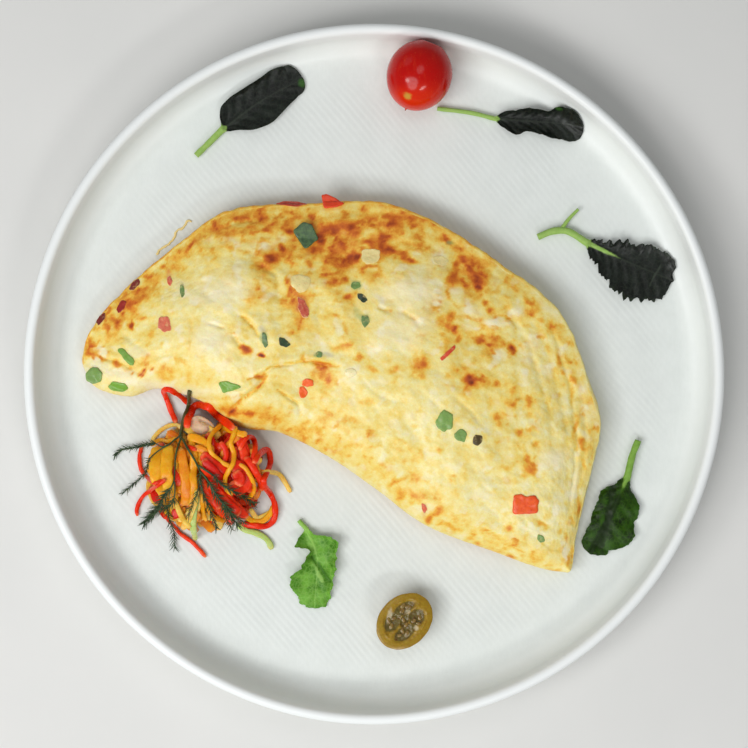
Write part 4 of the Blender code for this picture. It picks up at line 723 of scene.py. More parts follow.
def build_plate():
    cove = (FLOOR_RADIUS, FLOOR_HEIGHT + COVE_RADIUS)
    lip = (PLATE_RADIUS - LIP_RADIUS, PLATE_HEIGHT - LIP_RADIUS)
    profile = [(radius, FLOOR_HEIGHT) for radius in np.linspace(0.2, FLOOR_RADIUS - 1, 40)]
    profile += arc(cove, COVE_RADIUS, -90, 0, 20)
    profile += arc(lip, LIP_RADIUS, 178, 2, 20)
    profile += arc(cove, COVE_RADIUS + SHELL, 0, -90, 18)
    under = FLOOR_HEIGHT - SHELL
    profile += [(radius, under) for radius in np.linspace(FLOOR_RADIUS - 1, FOOT_OUTER + 1.6, 10)]
    profile += [(FOOT_OUTER + 0.7, under - 0.4), (FOOT_OUTER + 0.3, 0.5), (FOOT_OUTER - 0.6, 0.06)]
    profile += [(FOOT_OUTER - 2, 0), (FOOT_INNER + 2, 0), (FOOT_INNER + 0.6, 0.06)]
    profile += [(FOOT_INNER - 0.3, 0.5), (FOOT_INNER - 0.7, under - 0.4), (FOOT_INNER - 1.6, under)]
    profile += [(radius, under) for radius in np.linspace(FOOT_INNER - 4, 0.2, 12)]
    profile = np.array(profile)
    turns = np.linspace(0, TAU, 288, endpoint=False)
    radius = profile[:, :1] * np.ones_like(turns)
    height = profile[:, 1:] * np.ones_like(turns)
    x = radius * np.cos(turns)
    y = radius * np.sin(turns)
    free = smoothstep(3.2, 6.5, height)
    radius = radius + 0.16 * ripple(x, y, 55, 4) * free * smoothstep(112, 130, radius)
    height = height + (0.14 * ripple(x, y, 60, 9) + 0.05 * ripple(x, y, 17, 12)) * free
    grid = np.stack([radius * np.cos(turns), radius * np.sin(turns), height], axis=-1) * MM
    points, faces = capped(grid)
    reach = np.hypot(points[:, 0], points[:, 1]) / MM
    inside = points[:, 2] > (FLOOR_HEIGHT - 0.5) * MM
    pile = Pile()
    # Mask of the lip, where a painted highlight makes the glaze paler
    lip = smoothstep(PLATE_RADIUS - 6.2, PLATE_RADIUS - 3.6, reach) * (points[:, 2] > 14 * MM)
    # Mask of the inner wall, where painted light makes the glaze paler
    wall = smoothstep(122, 127, reach)
    pile.add(points, faces, ribbed=(1 - smoothstep(106, 121, reach)) * inside, wall=wall, lip=lip)
    return pile.build("plate_glazed", plate_look(), "white_glaze", ("plate",))


# Omelette


def blots(x, y, spots, power=4.0, fall=1.4):
    """Soft-edged patches; each is (x, y, half length, half width, turn, strength). x, y in mm."""
    total = np.zeros(x.shape)
    for cx, cy, a, b, turn, strength in spots:
        reach = 2.4 * max(a, b)
        near = (np.abs(x - cx) < reach) & (np.abs(y - cy) < reach)
        c = math.cos(math.radians(turn))
        s = math.sin(math.radians(turn))
        dx = x[near] - cx
        dy = y[near] - cy
        gap = ((dx * c + dy * s) / a) ** 2 + ((dy * c - dx * s) / b) ** 2
        total[near] += (strength * np.exp(-0.8 * gap**fall)) ** power
    return total ** (1 / power)


def egg_relief(x, y):
    """Height in mm that creases, domes and small swells add to the egg, at plan places in mm."""
    relief = 1.3 * ripple(x, y, 21, 3) + 0.55 * ripple(x, y, 10, 11)
    relief += 0.26 * ripple(x, y, 5.2, 17) + 0.12 * ripple(x, y, 2.6, 23) + 0.05 * ripple(x, y, 1.3, 29)
    relief += 1.3 * blots(x, y, DOMES, 2.0, 1.0)
    bend_x = x + 0.7 * ripple(x, y, 7, 31)
    bend_y = y + 0.7 * ripple(x, y, 7, 37)
    for points, width, _, depth, lift in LINES:
        path = smooth_path(points, np.linspace(0, 1, 14))
        low = path.min(axis=0) - 16
        high = path.max(axis=0) + 16
        near = (x > low[0]) & (x < high[0]) & (y > low[1]) & (y < high[1])
        gap, side, share = path_gap(bend_x[near], bend_y[near], path)
        fade = np.clip(np.sin(np.pi * np.clip(share, 0.02, 0.98)) * 2.2, 0, 1)
        fade *= np.where((share <= 0) | (share >= 1), 0.3, 1.0)
        cut = -depth * np.exp(-((gap / (width * 0.9)) ** 2))
        rise = lift * np.exp(-(((gap - width * 2) / (width * 2.2)) ** 2)) * (side > 0)
        relief[near] += (cut + rise) * fade
    return relief


def egg_tones(x, y):
    """How browned and how creamy the egg is at plan places in mm, its green and red veils, and its grey painted shade.
    """
    bend_x = x + 0.75 * ripple(x, y, 4.2, 41) + 0.4 * ripple(x, y, 1.7, 43)
    bend_y = y + 0.75 * ripple(x, y, 4.2, 47) + 0.4 * ripple(x, y, 1.7, 53)
    uneven = 0.5 * ripple(x, y, 6.5, 59) + 0.35 * ripple(x, y, 2.8, 61)
    toast = 0.17 + 0.06 * ripple(x, y, 13, 67) + 0.17 * uneven
    glow = blots(x, y, GLOWS, 2.0, 1.0)
    toast = toast + glow * (0.84 + 0.8 * uneven)
    freckles = smoothstep(0.18, 0.75, ripple(bend_x, bend_y, 3.3, 63) + 0.4 * ripple(x, y, 1.5, 65))
    # Painted light: the egg is made less browned towards the right, where it faces away from the lamps, to make up for
    # the shade there.
    toast = toast + freckles * (0.1 + 0.44 * glow) - 0.06 * smoothstep(5, 60, x - 0.5 * y)
    # Along the crease lines the egg is darkened, partly as browning and partly as painted shade in the creases.
    for points, width, tint, _, _ in LINES:
        path = smooth_path(points, np.linspace(0, 1, 14))
        low = path.min(axis=0) - 8
        high = path.max(axis=0) + 8
        near = (x > low[0]) & (x < high[0]) & (y > low[1]) & (y < high[1])
        gap, _, share = path_gap(bend_x[near], bend_y[near], path)
        line = tint * np.exp(-((gap / (width * 0.8)) ** 2)) * (0.72 + 0.6 * uneven[near])
        line *= np.where((share <= 0) | (share >= 1), 0.55, 1.0)
        toast[near] = (toast[near] ** 3 + np.maximum(line, 0) ** 3) ** (1 / 3)
    spots = blots(bend_x, bend_y, [(*spot[:5], spot[5] * 0.94) for spot in SPOTS], 3.0, 1.1) * (1 + 0.22 * uneven)
    toast = (np.maximum(toast, 0) ** 3 + np.maximum(spots, 0) ** 3) ** (1 / 3)
    cream = blots(bend_x, bend_y, [(*spot[:5], spot[5] * 1.1) for spot in CREAMS], 2.0, 0.9) * (0.9 + 0.45 * uneven)
    curds = smoothstep(0.15, 0.7, ripple(bend_x, bend_y, 5.5, 69) + 0.4 * ripple(x, y, 2.3, 75))
    cream = cream + 0.5 * curds * (1 - smoothstep(0.1, 0.4, glow))
    cream = np.clip(cream * (1 - smoothstep(0.28, 0.6, toast)), 0, 1)
    veils = {}
    for kind in ("green", "red", "grey"):
        chosen = [tint[1:] for tint in TINTS if tint[0] == kind]
        veils[kind] = np.clip(blots(bend_x, bend_y, chosen, 2.0, 1.6), 0, 1)
    return np.clip(toast, 0, 1.4), cream, veils


def egg_look():
    look = Look("cooked_egg", Roughness=0.5, Subsurface_Weight=0.22, Subsurface_Scale=0.0022)
    look.shader.inputs["Subsurface Radius"].default_value = (1.0, 0.62, 0.22)
    look.shader.inputs["Specular IOR Level"].default_value = 0.36
    look.shader.inputs["Coat Weight"].default_value = 0.08
    look.shader.inputs["Coat Roughness"].default_value = 0.3
    toast = look.value("toast")
    fine = look.noise(0.9, 3, 0.6)
    patch = look.noise(3.4, 3, 0.6, distort=0.4)
    speck = look.noise(1.9, 2, 0.55)
    swing = look.math("ADD", look.sway(fine, 0.13), look.sway(patch, 0.17))
    swing = look.math("ADD", swing, look.sway(speck, 0.13))
    swing = look.math("MULTIPLY", swing, look.level(toast, 0.05, 0.6, 0.7, 0.9))
    tone = look.math("MULTIPLY", look.math("ADD", toast, swing), 0.7, clamp=True)
    stops = [
        (0.0, srgb(244, 236, 190)), (0.09, srgb(241, 227, 154)), (0.2, srgb(239, 212, 112)),
        (0.29, srgb(235, 186, 70)), (0.385, srgb(224, 146, 38)), (0.49, srgb(206, 108, 22)),
        (0.6, srgb(180, 78, 14)), (0.72, srgb(144, 56, 14)), (0.95, srgb(84, 36, 16)),
    ]
    colour = look.ramp(tone, stops)
    cream = look.math("ADD", look.value("cream"), look.sway(patch, 0.22))
    cream = look.level(cream, 0.1, 1.0, 0.0, 0.85)
    pale = look.mix(speck, srgb(247, 241, 212), srgb(240, 230, 186))
    colour = look.mix(cream, colour, pale)
    grain = look.level(look.noise(0.55, 2, 0.6), 0.3, 0.75, 0.0, 0.16)
    colour = look.mix(grain, colour, look.mix(1.0, colour, srgb(232, 205, 150), "MULTIPLY"))
    # The grey mix is painted shade in the egg's dips and creases.
    for kind, shade in (("green", (128, 158, 98)), ("red", (214, 126, 92)), ("grey", (190, 184, 160))):
        share = look.math("ADD", look.value(kind), look.sway(patch, 0.12))
        colour = look.mix(look.level(share, 0.08, 1.0, 0.0, 0.92), colour, srgb(*shade))
    normal = look.bump(look.noise(2.2, 3, 0.6), 0.28, 0.5)
    normal = look.bump(look.noise(0.7, 3, 0.65), 0.08, 0.5, normal)
    roughness = look.level(look.math("ADD", toast, look.sway(speck, 0.3)), 0.1, 0.9, 0.44, 0.62)
    return look.finish(colour, roughness, normal)


EGG_SECTIONS = 360
SHEET_SHOWING = 0.4
FOLD_STEPS = 16
TOP_STEPS = 176


def omelette_grid():
    """Rings of points along the omelette in mm, and what each point of a ring belongs to."""
    even = np.linspace(0, 1, EGG_SECTIONS)
    shares = 0.006 + 0.988 * (0.35 * (0.5 - 0.5 * np.cos(np.pi * even)) + 0.65 * even)
    folds = smooth_path(FOLD_LINE, shares)
    openings = smooth_path(OPEN_LINE, shares)
    along = shares * 216
    across = openings - folds
    width = np.hypot(*across.T)
    across /= width[:, None]
    slim = np.minimum(width / 20, 1)
    fold_height = smooth_value(STATIONS, FOLD_HEIGHTS, shares)
    ridge = smooth_value(STATIONS, RIDGE_HEIGHTS, shares)
    edge = smooth_value(STATIONS, EDGE_HEIGHTS, shares) + 0.5 * ripple(along, 0 * along, 14, 71) * slim
    reach = smooth_value(STATIONS, SHEET_REACHES, shares) * SHEET_SHOWING * slim
    reach = reach * (1 + 0.35 * ripple(along, 0 * along, 9, 73)) + 0.3 * ripple(along, 0 * along, 3.1, 79)
    reach = np.maximum(reach, 0.2 * slim)
    sheet = SHEET * (1 + 0.22 * ripple(along, 0 * along, 8, 83)) * slim
    jag = 0.4 * ripple(along, 0 * along, 6, 89) + 0.22 * ripple(along, 0 * along, 2.4, 97)
    width = width + (jag - 0.2) * slim
    flap = width - reach - sheet / 2
    flap = flap + 0.25 * ripple(along, 0 * along, 3.6, 101) * slim
    low_radius = np.minimum(fold_height / 2, width * 0.3)
    high_radius = np.minimum(fold_height * 0.8, width * 0.42)
    columns = []

    def put(out, height, top, part):
        columns.append((out, height, np.broadcast_to(top, out.shape), part))

    def roof(out):
        share = np.clip(out / flap, 0, 1)
        level = fold_height + (edge - fold_height) * share
        return level + (ridge - np.maximum(fold_height, edge)) * np.sin(np.pi * share**0.85)

    for angle in np.linspace(-math.pi / 2, 0, 9)[:-1]:
        out = low_radius * (1 - math.cos(angle))
        put(out, fold_height / 2 * (1 + math.sin(angle)), 0.0, "under")
    for angle in np.linspace(0, math.pi / 2, FOLD_STEPS):
        out = high_radius * (1 - math.cos(angle))
        height = fold_height / 2 + (roof(out) - fold_height / 2) * math.sin(angle)
        put(out, height, math.sin(angle) ** 2 * slim, "top")
    for step in np.linspace(0, 1, TOP_STEPS + 1)[1:]:
        out = high_radius + (flap - high_radius) * step
        put(out, roof(out), min((1 - step) / 0.1, 1.0) * slim, "top")
    for angle in np.linspace(80, -80, 8):
        turn = math.radians(angle)
        put(flap + sheet / 2 * math.cos(turn), edge - sheet / 2 + sheet / 2 * math.sin(turn), 0.0, "rim")
    groove = FOLD_GROOVE * slim
    middle = (edge + sheet) / 2
    for step in (0.3, 0.65, 1.0):
        top_height = (edge - sheet) * (1 - step) + (middle + 0.5 * slim) * step
        put(flap - groove * step, top_height, 0.0, "inside")
    for step in (1.0, 0.7, 0.4, 0.1):
        low_height = (sheet * 0.95) * (1 - step) + (middle - 0.5 * slim) * step
        put(flap + reach - (groove + reach) * step, low_height, 0.0, "lower")
    for angle in np.linspace(80, -90, 8):
        turn = math.radians(angle)
        thin = sheet * 0.46
        put(width - thin + thin * math.cos(turn), thin * (1 + math.sin(turn)), 0.0, "lower")
    for step in np.linspace(1, 0, 12)[1:-1]:
        put(low_radius + (width - thin - low_radius) * step, 0 * width, 0.0, "under")
    out = np.array([column[0] for column in columns]).T
    height = np.array([column[1] for column in columns]).T
    top = np.array([column[2] for column in columns]).T
    x = folds[:, :1] + across[:, :1] * out
    y = folds[:, 1:] + across[:, 1:] * out
    parts = [column[3] for column in columns]
    return x, y, height, top, parts


def build_omelette():
    x, y, height, top, parts = omelette_grid()
    height = height + egg_relief(x, y) * top
    grid = np.stack([x, y, REST + np.maximum(height, 0)], axis=-1)
    normals = grid_normals(grid)
    if normals[EGG_SECTIONS // 2, FOLD_STEPS + 60, 2] < 0:
        normals = -normals
    skin = 0.13 * ripple(x + 3 * height, y - 2 * height, 2.3, 103)
    skin += 0.06 * ripple(x - 2 * height, y + 3 * height, 1.1, 107)
    free = np.clip(height / 2, 0, 1)[..., None]
    grid = grid + normals * (skin * 0.7)[..., None] * free
    toast, cream, veils = egg_tones(x, y)
    kinds = np.array([["top", "rim", "inside", "lower", "under"].index(part) for part in parts])
    mottle = 0.5 * ripple(x + height, y - height, 5, 109) + 0.4 * ripple(x - height, y + height, 1.9, 113)
    golden = 1 - 0.6 * smoothstep(45, 75, x)
    for kind, tone in ((1, 0.42), (2, 0.3), (3, 0.42), (4, 0.46)):
        chosen = kinds == kind
        edge_tone = tone * (1 + 0.6 * mottle[:, chosen]) * golden[:, chosen]
        toast[:, chosen] = np.maximum(toast[:, chosen] * 0.5, edge_tone)
        cream[:, chosen] *= 0.3
    steep = 1 - np.clip(normals[..., 2] / 0.5, 0, 1)
    toast[:, kinds == 0] += (0.08 * steep * (1 - cream))[:, kinds == 0]
    points, faces = capped(grid * MM)

    def spread(values):
        return np.append(values.reshape(-1), [values[0].mean(), values[-1].mean()])

    pile = Pile()
    tones = {kind: spread(values) for kind, values in veils.items()}
    pile.add(points, faces, toast=spread(toast), cream=spread(cream), **tones)
    return pile.build("omelette_egg", egg_look(), "cooked_egg", ("omelette",))


# Bits of vegetable set in the egg


def rounded_outline(points, count, passes=3, cut=0.22):
    ring = np.array(points, float)
    area = np.sum(ring[:, 0] * np.roll(ring[:, 1], -1) - np.roll(ring[:, 0], -1) * ring[:, 1])
    if area < 0:
        ring = ring[::-1]
    for _ in range(passes):
        after = np.roll(ring, -1, axis=0)
        ring = np.stack([ring * (1 - cut) + after * cut, ring * cut + after * (1 - cut)], axis=1).reshape(-1, 2)
    closed = np.vstack([ring, ring[:1]])
    lengths = np.append(0, np.cumsum(np.linalg.norm(np.diff(closed, axis=0), axis=1)))
    at = np.linspace(0, lengths[-1], count, endpoint=False)
    return np.column_stack([np.interp(at, lengths, closed[:, axis]) for axis in (0, 1)])


# The most, in mm, that a bit bends down past the omelette's edge
MOST_DROP = 1.6


def bit_body(outline, height, tree, seed):
    """A flat-topped piece that follows the egg under it, its foot sunk in."""
    ring = rounded_outline(outline, 44, 3, 0.08 if height > 0.6 else 0.15)
    middle = ring.mean(axis=0)
    size = min(np.linalg.norm(ring - middle, axis=1).mean() / 2.2, 1.0)
    uneven = ripple(ring[:, 0], ring[:, 1], 2.4, seed + 40) + 0.4 * ripple(ring[:, 0], ring[:, 1], 1.1, seed + 41)
    ring = middle + (ring - middle) * (1 + (0.05 if height > 0.6 else 0.14) * size * uneven)[:, None]
    levels = [
        (0.98, -1.0), (1.0, -0.2), (1.0, 0.35), (0.975, 0.72), (0.91, 0.94),
        (0.8, 1.0), (0.62, 1.02), (0.42, 1.04), (0.2, 1.04),
    ]
    rows = []
    highest = max(top_of([tree], px * MM, py * MM) / MM for px, py in middle + (ring - middle) * 0.9)
    for scale, share in levels:
        row = []
        for px, py in middle + (ring - middle) * scale:
            ground = max(top_of([tree], px * MM, py * MM) / MM, highest - MOST_DROP)
            lift = share * height if share > 0 else share
            lift += 0.09 * float(ripple(px, py, 1.6, seed)) * max(share, 0)
            row.append((px * MM, py * MM, (ground + lift) * MM))
        rows.append(row)
    return capped(np.array(rows))


BIT_STOPS = {
    "green": [
        (0.0, (84, 66, 34)), (0.14, (74, 60, 30)), (0.28, (34, 52, 32)), (0.45, (70, 96, 64)),
        (0.62, (112, 142, 78)), (0.8, (126, 162, 80)), (0.95, (116, 164, 46)),
    ],
    "red": [
        (0.0, (120, 30, 26)), (0.22, (158, 34, 24)), (0.36, (186, 66, 44)), (0.5, (214, 112, 84)),
        (0.68, (220, 60, 20)), (0.9, (242, 98, 22)),
    ],
    "pale": [(0.0, (214, 196, 122)), (0.5, (234, 216, 148)), (0.8, (240, 228, 178))],
}


def bit_look(kind, roughness):
    look = Look(kind + "_bits", Roughness=roughness, Subsurface_Weight=0.12, Subsurface_Scale=0.0012)
    look.shader.inputs["Specular IOR Level"].default_value = 0.4
    look.shader.inputs["Coat Weight"].default_value = 0.15
    look.shader.inputs["Coat Roughness"].default_value = 0.2
    tone = look.math("ADD", look.value("tone"), look.sway(look.noise(1.8, 3, 0.6), 0.16))
    stops = [(place, srgb(*shade)) for place, shade in BIT_STOPS[kind]]
    colour = look.ramp(tone, stops)
    fleck = look.level(look.noise(0.6, 3, 0.65), 0.52, 0.72, 0.0, 0.3)
    colour = look.mix(fleck, colour, look.mix(1.0, colour, srgb(150, 140, 120), "MULTIPLY"))
    veil = look.math("ADD", look.value("veil"), look.sway(look.noise(1.5, 3, 0.6), 0.6))
    veil = look.level(veil, 0.25, 0.8, 0.0, 0.92)
    colour = look.mix(veil, colour, look.mix(look.noise(2.0, 3), srgb(240, 222, 160), srgb(228, 196, 110)))
    normal = look.bump(look.noise(0.8, 3, 0.6), 0.12, 0.7)
    rough = look.level(look.noise(1.5, 3), 0.25, 0.75, roughness - 0.08, roughness + 0.14)
    return look.finish(colour, rough, normal)


def build_bits(egg_tree):
    shift = {"green": 0.2, "red": 0.36, "pale": 0.0}
    whole = {"green_dice": ("green", "green_pepper_dice"), "red_dice": ("red", "red_pepper_dice")}
    looks = {kind: bit_look(kind, 0.36) for kind in BIT_STOPS}
    piles = {kind: Pile() for kind in BIT_STOPS}
    slots = {"green": "green_pepper", "red": "red_pepper", "pale": "cooked_egg"}
    for number, (kind, tone, height, outline) in enumerate(BITS):
        points, faces = bit_body(outline, height, egg_tree, 200 + number)
        colour = kind if kind in piles else whole[kind][0]
        scaled = (tone + shift[colour]) / (1.0 + shift[colour])
        rim = np.zeros(len(points))
        rim[: 44 * 4] = 1.0
        veil = 0.4 * rim * (height < 0.8) + 0.25 * (height < 0.35) + 0.15 * (height < 0.15)
        if kind in whole:
            single = Pile()
            single.add(points, faces, tone=scaled, veil=0.2 * rim)
            node = whole[kind][1]
            single.build(node + "_piece", looks[colour], slots[colour], (node,))
        else:
            piles[kind].add(points, faces, tone=scaled, veil=veil)
    for kind, pile in piles.items():
        pile.build(kind + "_bits_in_egg", looks[kind], slots[kind])


# Tomatoes

TOMATO_CENTRE = (17.4, 115.0)
TOMATO_RADIUS = 12.6
TOMATO_LENGTH = 27.4
TOMATO_LEAN = math.radians(84)
TOMATO_TURN = math.radians(68)
TOMATO_BLEMISH = (-4.4, -8.6, 8.0)


def tomato_look():
    look = Look("tomato_skin", Roughness=0.3, Subsurface_Weight=0.08, Subsurface_Scale=0.002)
    look.shader.inputs["Specular IOR Level"].default_value = 0.08
    look.shader.inputs["Coat Weight"].default_value = 0.34
    look.shader.inputs["Coat Roughness"].default_value = 0.12
    patch = look.noise(9, 3, 0.55)
    colour = look.mix(patch, srgb(172, 4, 1), srgb(192, 10, 2))
    # The tomato is made more orange towards its lower side and its underside: partly ripe colour, partly painted light
    # bounced from the plate.
    low = look.math("ADD", look.value("ripe"), look.sway(patch, 0.2))
    colour = look.mix(look.level(low, 0.1, 1.0, 0.0, 0.8), colour, srgb(214, 44, 8))
    streak = look.noise(1.6, 3, 0.6, stretch=(1.0, 0.2, 1.0), turn=22)
    colour = look.mix(look.level(streak, 0.5, 0.8, 0.0, 0.22), colour, srgb(216, 66, 30))
    fleck = look.level(look.noise(0.5, 2, 0.5), 0.66, 0.76, 0.0, 0.3)
    colour = look.mix(fleck, colour, srgb(226, 120, 60))
    blemish = look.math("ADD", look.value("blemish"), look.sway(look.noise(1.2, 3), 0.3))
    colour = look.mix(look.level(blemish, 0.25, 0.9, 0.0, 0.9), colour, srgb(196, 150, 58))
    scar = look.math("ADD", look.value("scar"), look.sway(look.noise(0.9, 3), 0.25))
    colour = look.mix(look.level(scar, 0.2, 0.5, 0.0, 0.75), colour, srgb(150, 74, 38))
    colour = look.mix(look.level(scar, 0.55, 0.85, 0.0, 1.0), colour, srgb(66, 44, 18))
    normal = look.bump(look.noise(1.0, 3, 0.6), 0.02, 0.6)
    normal = look.bump(look.noise(6, 2), 0.25, 0.35, normal)
    rough = look.level(scar, 0.2, 0.6, 0.22, 0.6)
    return look.finish(colour, rough, normal)


def build_tomato():
    rows = 110
    columns = 140
    lats = np.linspace(0.012, math.pi - 0.012, rows)[:, None]
    lons = np.linspace(0, TAU, columns, endpoint=False)[None, :]
    z = np.cos(lats) * np.ones_like(lons)
    ends = np.abs(z) ** 6
    waist = 1 + 0.03 * z - 0.02 * np.cos(3 * lons) * ends
    waist = waist * (1 + 0.006 * ripple(lons * 1.5, lats * 2, 1.0, 121))
    radius = np.sin(lats) * waist * TOMATO_RADIUS
    gap = np.sin(lats) * np.where(z > 0, 1, 9)
    sink = 1.0 * np.exp(-((gap / 0.2) ** 2)) - 0.35 * np.exp(-(((gap - 0.32) / 0.12) ** 2))
    nub = 0.5 * np.exp(-((gap / 0.05) ** 2))
    tall = z * TOMATO_LENGTH / 2 - sink + nub
    grid = np.stack([radius * np.cos(lons), radius * np.sin(lons), tall], axis=-1)
    spin = Matrix.Rotation(TOMATO_TURN, 3, "Z") @ Matrix.Rotation(TOMATO_LEAN, 3, "Y")
    grid = grid @ np.array(spin).T
    middle = np.array([*TOMATO_CENTRE, REST + TOMATO_RADIUS * 1.03])
    points, faces = capped((grid + middle) * MM)
    local = points / MM - middle
    star = 0.03 * np.cos(5 * lons) * np.ones_like(lats)
    scar = np.exp(-(((gap + star) / 0.17) ** 2))
    scar = np.append(scar.reshape(-1), [1.0, 0.0])
    spot = np.array(TOMATO_BLEMISH)
    spot = spot / np.linalg.norm(spot)
    toward = local / np.linalg.norm(local, axis=1, keepdims=True)
    blemish = np.exp(-((np.linalg.norm(toward - spot, axis=1) / 0.15) ** 2))
    # Partly ripe colour, partly painted light from the plate on the lower side and underside
    ripe = smoothstep(1.0, -13.0, local[:, 1]) + 0.35 * smoothstep(-2, -12, local[:, 2])
    pile = Pile()
    pile.add(points, faces, scar=scar, blemish=blemish, ripe=np.clip(ripe, 0, 1))
    return pile.build("cherry_tomato", tomato_look(), "tomato_skin", ("tomato",))


HALF_CENTRE = (11.8, -95.7)
HALF_LENGTH = 24.2
HALF_WIDTH = 19.4
HALF_DEPTH = 9.6
HALF_TURN = math.radians(43)
HALF_TILT = math.radians(9)
HALF_ROLL = math.radians(4)
# Seed chambers of the cut face: place and size as shares of its half length and half width
CHAMBERS = [
    (-0.3, 0.32, 0.36, 0.3, 20), (0.26, 0.38, 0.4, 0.22, -16), (-0.24, -0.34, 0.42, 0.26, -8),
    (0.38, -0.22, 0.28, 0.32, 16), (0.02, 0.02, 0.26, 0.16, 35),
]
SEEDS = [
    (-0.42, 0.22, 30), (-0.2, 0.38, -20), (-0.36, 0.46, 60), (0.16, 0.36, 15), (0.4, 0.3, -35), (0.3, 0.5, 5),
    (-0.44, -0.26, -30), (-0.2, -0.42, 25), (-0.26, -0.22, 70), (0.22, -0.24, -10), (0.44, -0.32, 40),
    (0.28, -0.46, -60), (0.0, 0.08, 80), (-0.04, -0.14, 15),
]


def half_look():
    look = Look("golden_tomato", Roughness=0.25, Subsurface_Weight=0.15, Subsurface_Scale=0.002)
    look.shader.inputs["Specular IOR Level"].default_value = 0.25
    look.shader.inputs["Coat Weight"].default_value = 0.4
    look.shader.inputs["Coat Roughness"].default_value = 0.2
    patch = look.noise(2.6, 3, 0.6)
    colour = look.mix(patch, srgb(142, 110, 8), srgb(166, 134, 26))
    colour = look.mix(look.level(look.noise(1.1, 3), 0.45, 0.75, 0.0, 0.4), colour, srgb(120, 74, 8))
    gel = look.math("ADD", look.value("gel"), look.sway(look.noise(1.5, 3), 0.25))
    inner = look.mix(patch, srgb(82, 70, 26), srgb(122, 106, 48))
    inner = look.mix(look.level(look.noise(1.3, 3, 0.6), 0.5, 0.7, 0.0, 0.8), inner, srgb(96, 50, 12))
    colour = look.mix(look.level(gel, 0.2, 0.8), colour, inner)
    # Painted highlight: pale glints on the cut face.
    wet = look.math("ADD", look.value("wet"), look.sway(look.noise(0.9, 3), 0.35))
    colour = look.mix(look.level(wet, 0.3, 0.9, 0.0, 0.85), colour, srgb(205, 190, 155))
    normal = look.bump(look.noise(1.4, 3, 0.6), 0.35, 0.7)
    normal = look.bump(look.noise(0.5, 2, 0.6), 0.06, 0.6, normal)
    return look.finish(colour, look.level(gel, 0.1, 0.7, 0.38, 0.24), normal)


def seed_look():
    look = Look("tomato_seeds", Roughness=0.3, Subsurface_Weight=0.2, Subsurface_Scale=0.001)
    look.shader.inputs["Coat Weight"].default_value = 0.3
    look.shader.inputs["Coat Roughness"].default_value = 0.2
    colour = look.ramp(look.noise(0.9, 3, 0.6), [(0.2, srgb(84, 56, 12)), (0.5, srgb(122, 94, 28)), (0.8, srgb(150, 126, 54))])
    return look.finish(colour, None, look.bump(look.noise(0.4, 2), 0.05, 0.6))


def build_half():
    columns = 128
    turns = np.linspace(0, TAU, columns, endpoint=False)
    turned = Matrix.Rotation(HALF_TURN, 3, "Z") @ Matrix.Rotation(HALF_TILT, 3, "Y")
    turned = np.array(turned @ Matrix.Rotation(HALF_ROLL, 3, "X"))
    a = HALF_LENGTH / 2
    b = HALF_WIDTH / 2
    rows = []
    gels = []
    for lat in np.linspace(-1.48, 0.02, 34):
        lumpy = 1 + 0.012 * ripple(turns * 3, turns * 0 + lat * 3, 1.0, 131)
        height = np.maximum(math.sin(lat), -0.94) * HALF_DEPTH
        rows.append((math.cos(lat) * lumpy, height * np.ones(columns)))
        gels.append(np.zeros(columns))
    for share in (0.985, 0.955, 0.915, 0.87, 0.82, 0.78):
        rows.append((share * np.ones(columns), (0.75 * math.sqrt(max(1 - share**6, 0)) + 0.02) * np.ones(columns)))
        gels.append(np.zeros(columns))
    for share in np.linspace(0.75, 0.02, 40):
        x = share * np.cos(turns)
        y = share * np.sin(turns)
        dip = np.zeros(columns)
        for cx, cy, ra, rb, turn in CHAMBERS:
            c = math.cos(math.radians(turn))
            s = math.sin(math.radians(turn))
            u = ((x - cx) * c + (y - cy) * s) / ra
            v = ((y - cy) * c - (x - cx) * s) / rb
            dip = np.maximum(dip, np.exp(-((u * u + v * v) ** 2)))
        height = 0.85 - 1.3 * dip + 0.3 * ripple(x * a, y * b, 2.6, 137) + 0.15 * ripple(x * a, y * b, 1.2, 139)
        rows.append((share * np.ones(columns), height))
        gels.append(np.clip(dip * 1.3, 0, 1) * smoothstep(0.76, 0.68, share))
    grid = np.array([
        np.column_stack([radius * np.cos(turns) * a, radius * np.sin(turns) * b, height]) for radius, height in rows
    ])
    grid = grid @ turned.T
    lowest = grid[..., 2].min()
    middle = np.array([*HALF_CENTRE, REST - lowest])
    points, faces = capped((grid + middle) * MM)
    gel = np.append(np.array(gels).reshape(-1), [0.0, 0.3])
    local = points / MM - middle
    wet = blots(local[:, 0], local[:, 1], HALF_WET, 2.0, 1.6) * (local[:, 2] > -3)
    pile = Pile()
    pile.add(points, faces, gel=gel, wet=wet)
    half = pile.build("golden_tomato_half", half_look(), "golden_tomato", ("tomato_half",))
    tree = tree_of(half)
    seeds = Pile()
    for number, (sx, sy, turn) in enumerate(SEEDS):
        spot = turned @ np.array([sx * a, sy * b, 0.0]) + middle
        lats = np.linspace(0.05, math.pi - 0.05, 12)[:, None]
        lons = np.linspace(0, TAU, 16, endpoint=False)[None, :]
        size = 1.25 + 0.25 * float(ripple(number * 1.7, 0.5, 1.0, 141))
        body = np.stack([
            np.cos(lats) * size * np.ones_like(lons), np.sin(lats) * np.cos(lons) * size * 0.62,
            np.sin(lats) * np.sin(lons) * 0.34,
        ], axis=-1)
        body = body @ np.array(Matrix.Rotation(math.radians(turn) + HALF_TURN, 3, "Z")).T
        ground = top_of([tree], spot[0] * MM, spot[1] * MM) / MM
        body = (body + np.array([spot[0], spot[1], ground + 0.12])) * MM
        seeds.add(*capped(body))
    seeds.build("golden_tomato_seeds", seed_look(), "golden_tomato")


# Painted highlights on the golden half's cut face, off its middle
HALF_WET = [
    (-5.9, 2.0, 1.1, 3.4, -10, 1.0), (1.1, 3.6, 1.5, 1.0, 20, 0.8), (4.6, -2.6, 1.1, 1.3, 0, 0.8),
    (1.0, -5.4, 1.3, 0.9, 30, 0.75), (3.4, 3.0, 1.0, 0.8, 0, 0.3),
]


# Leaves

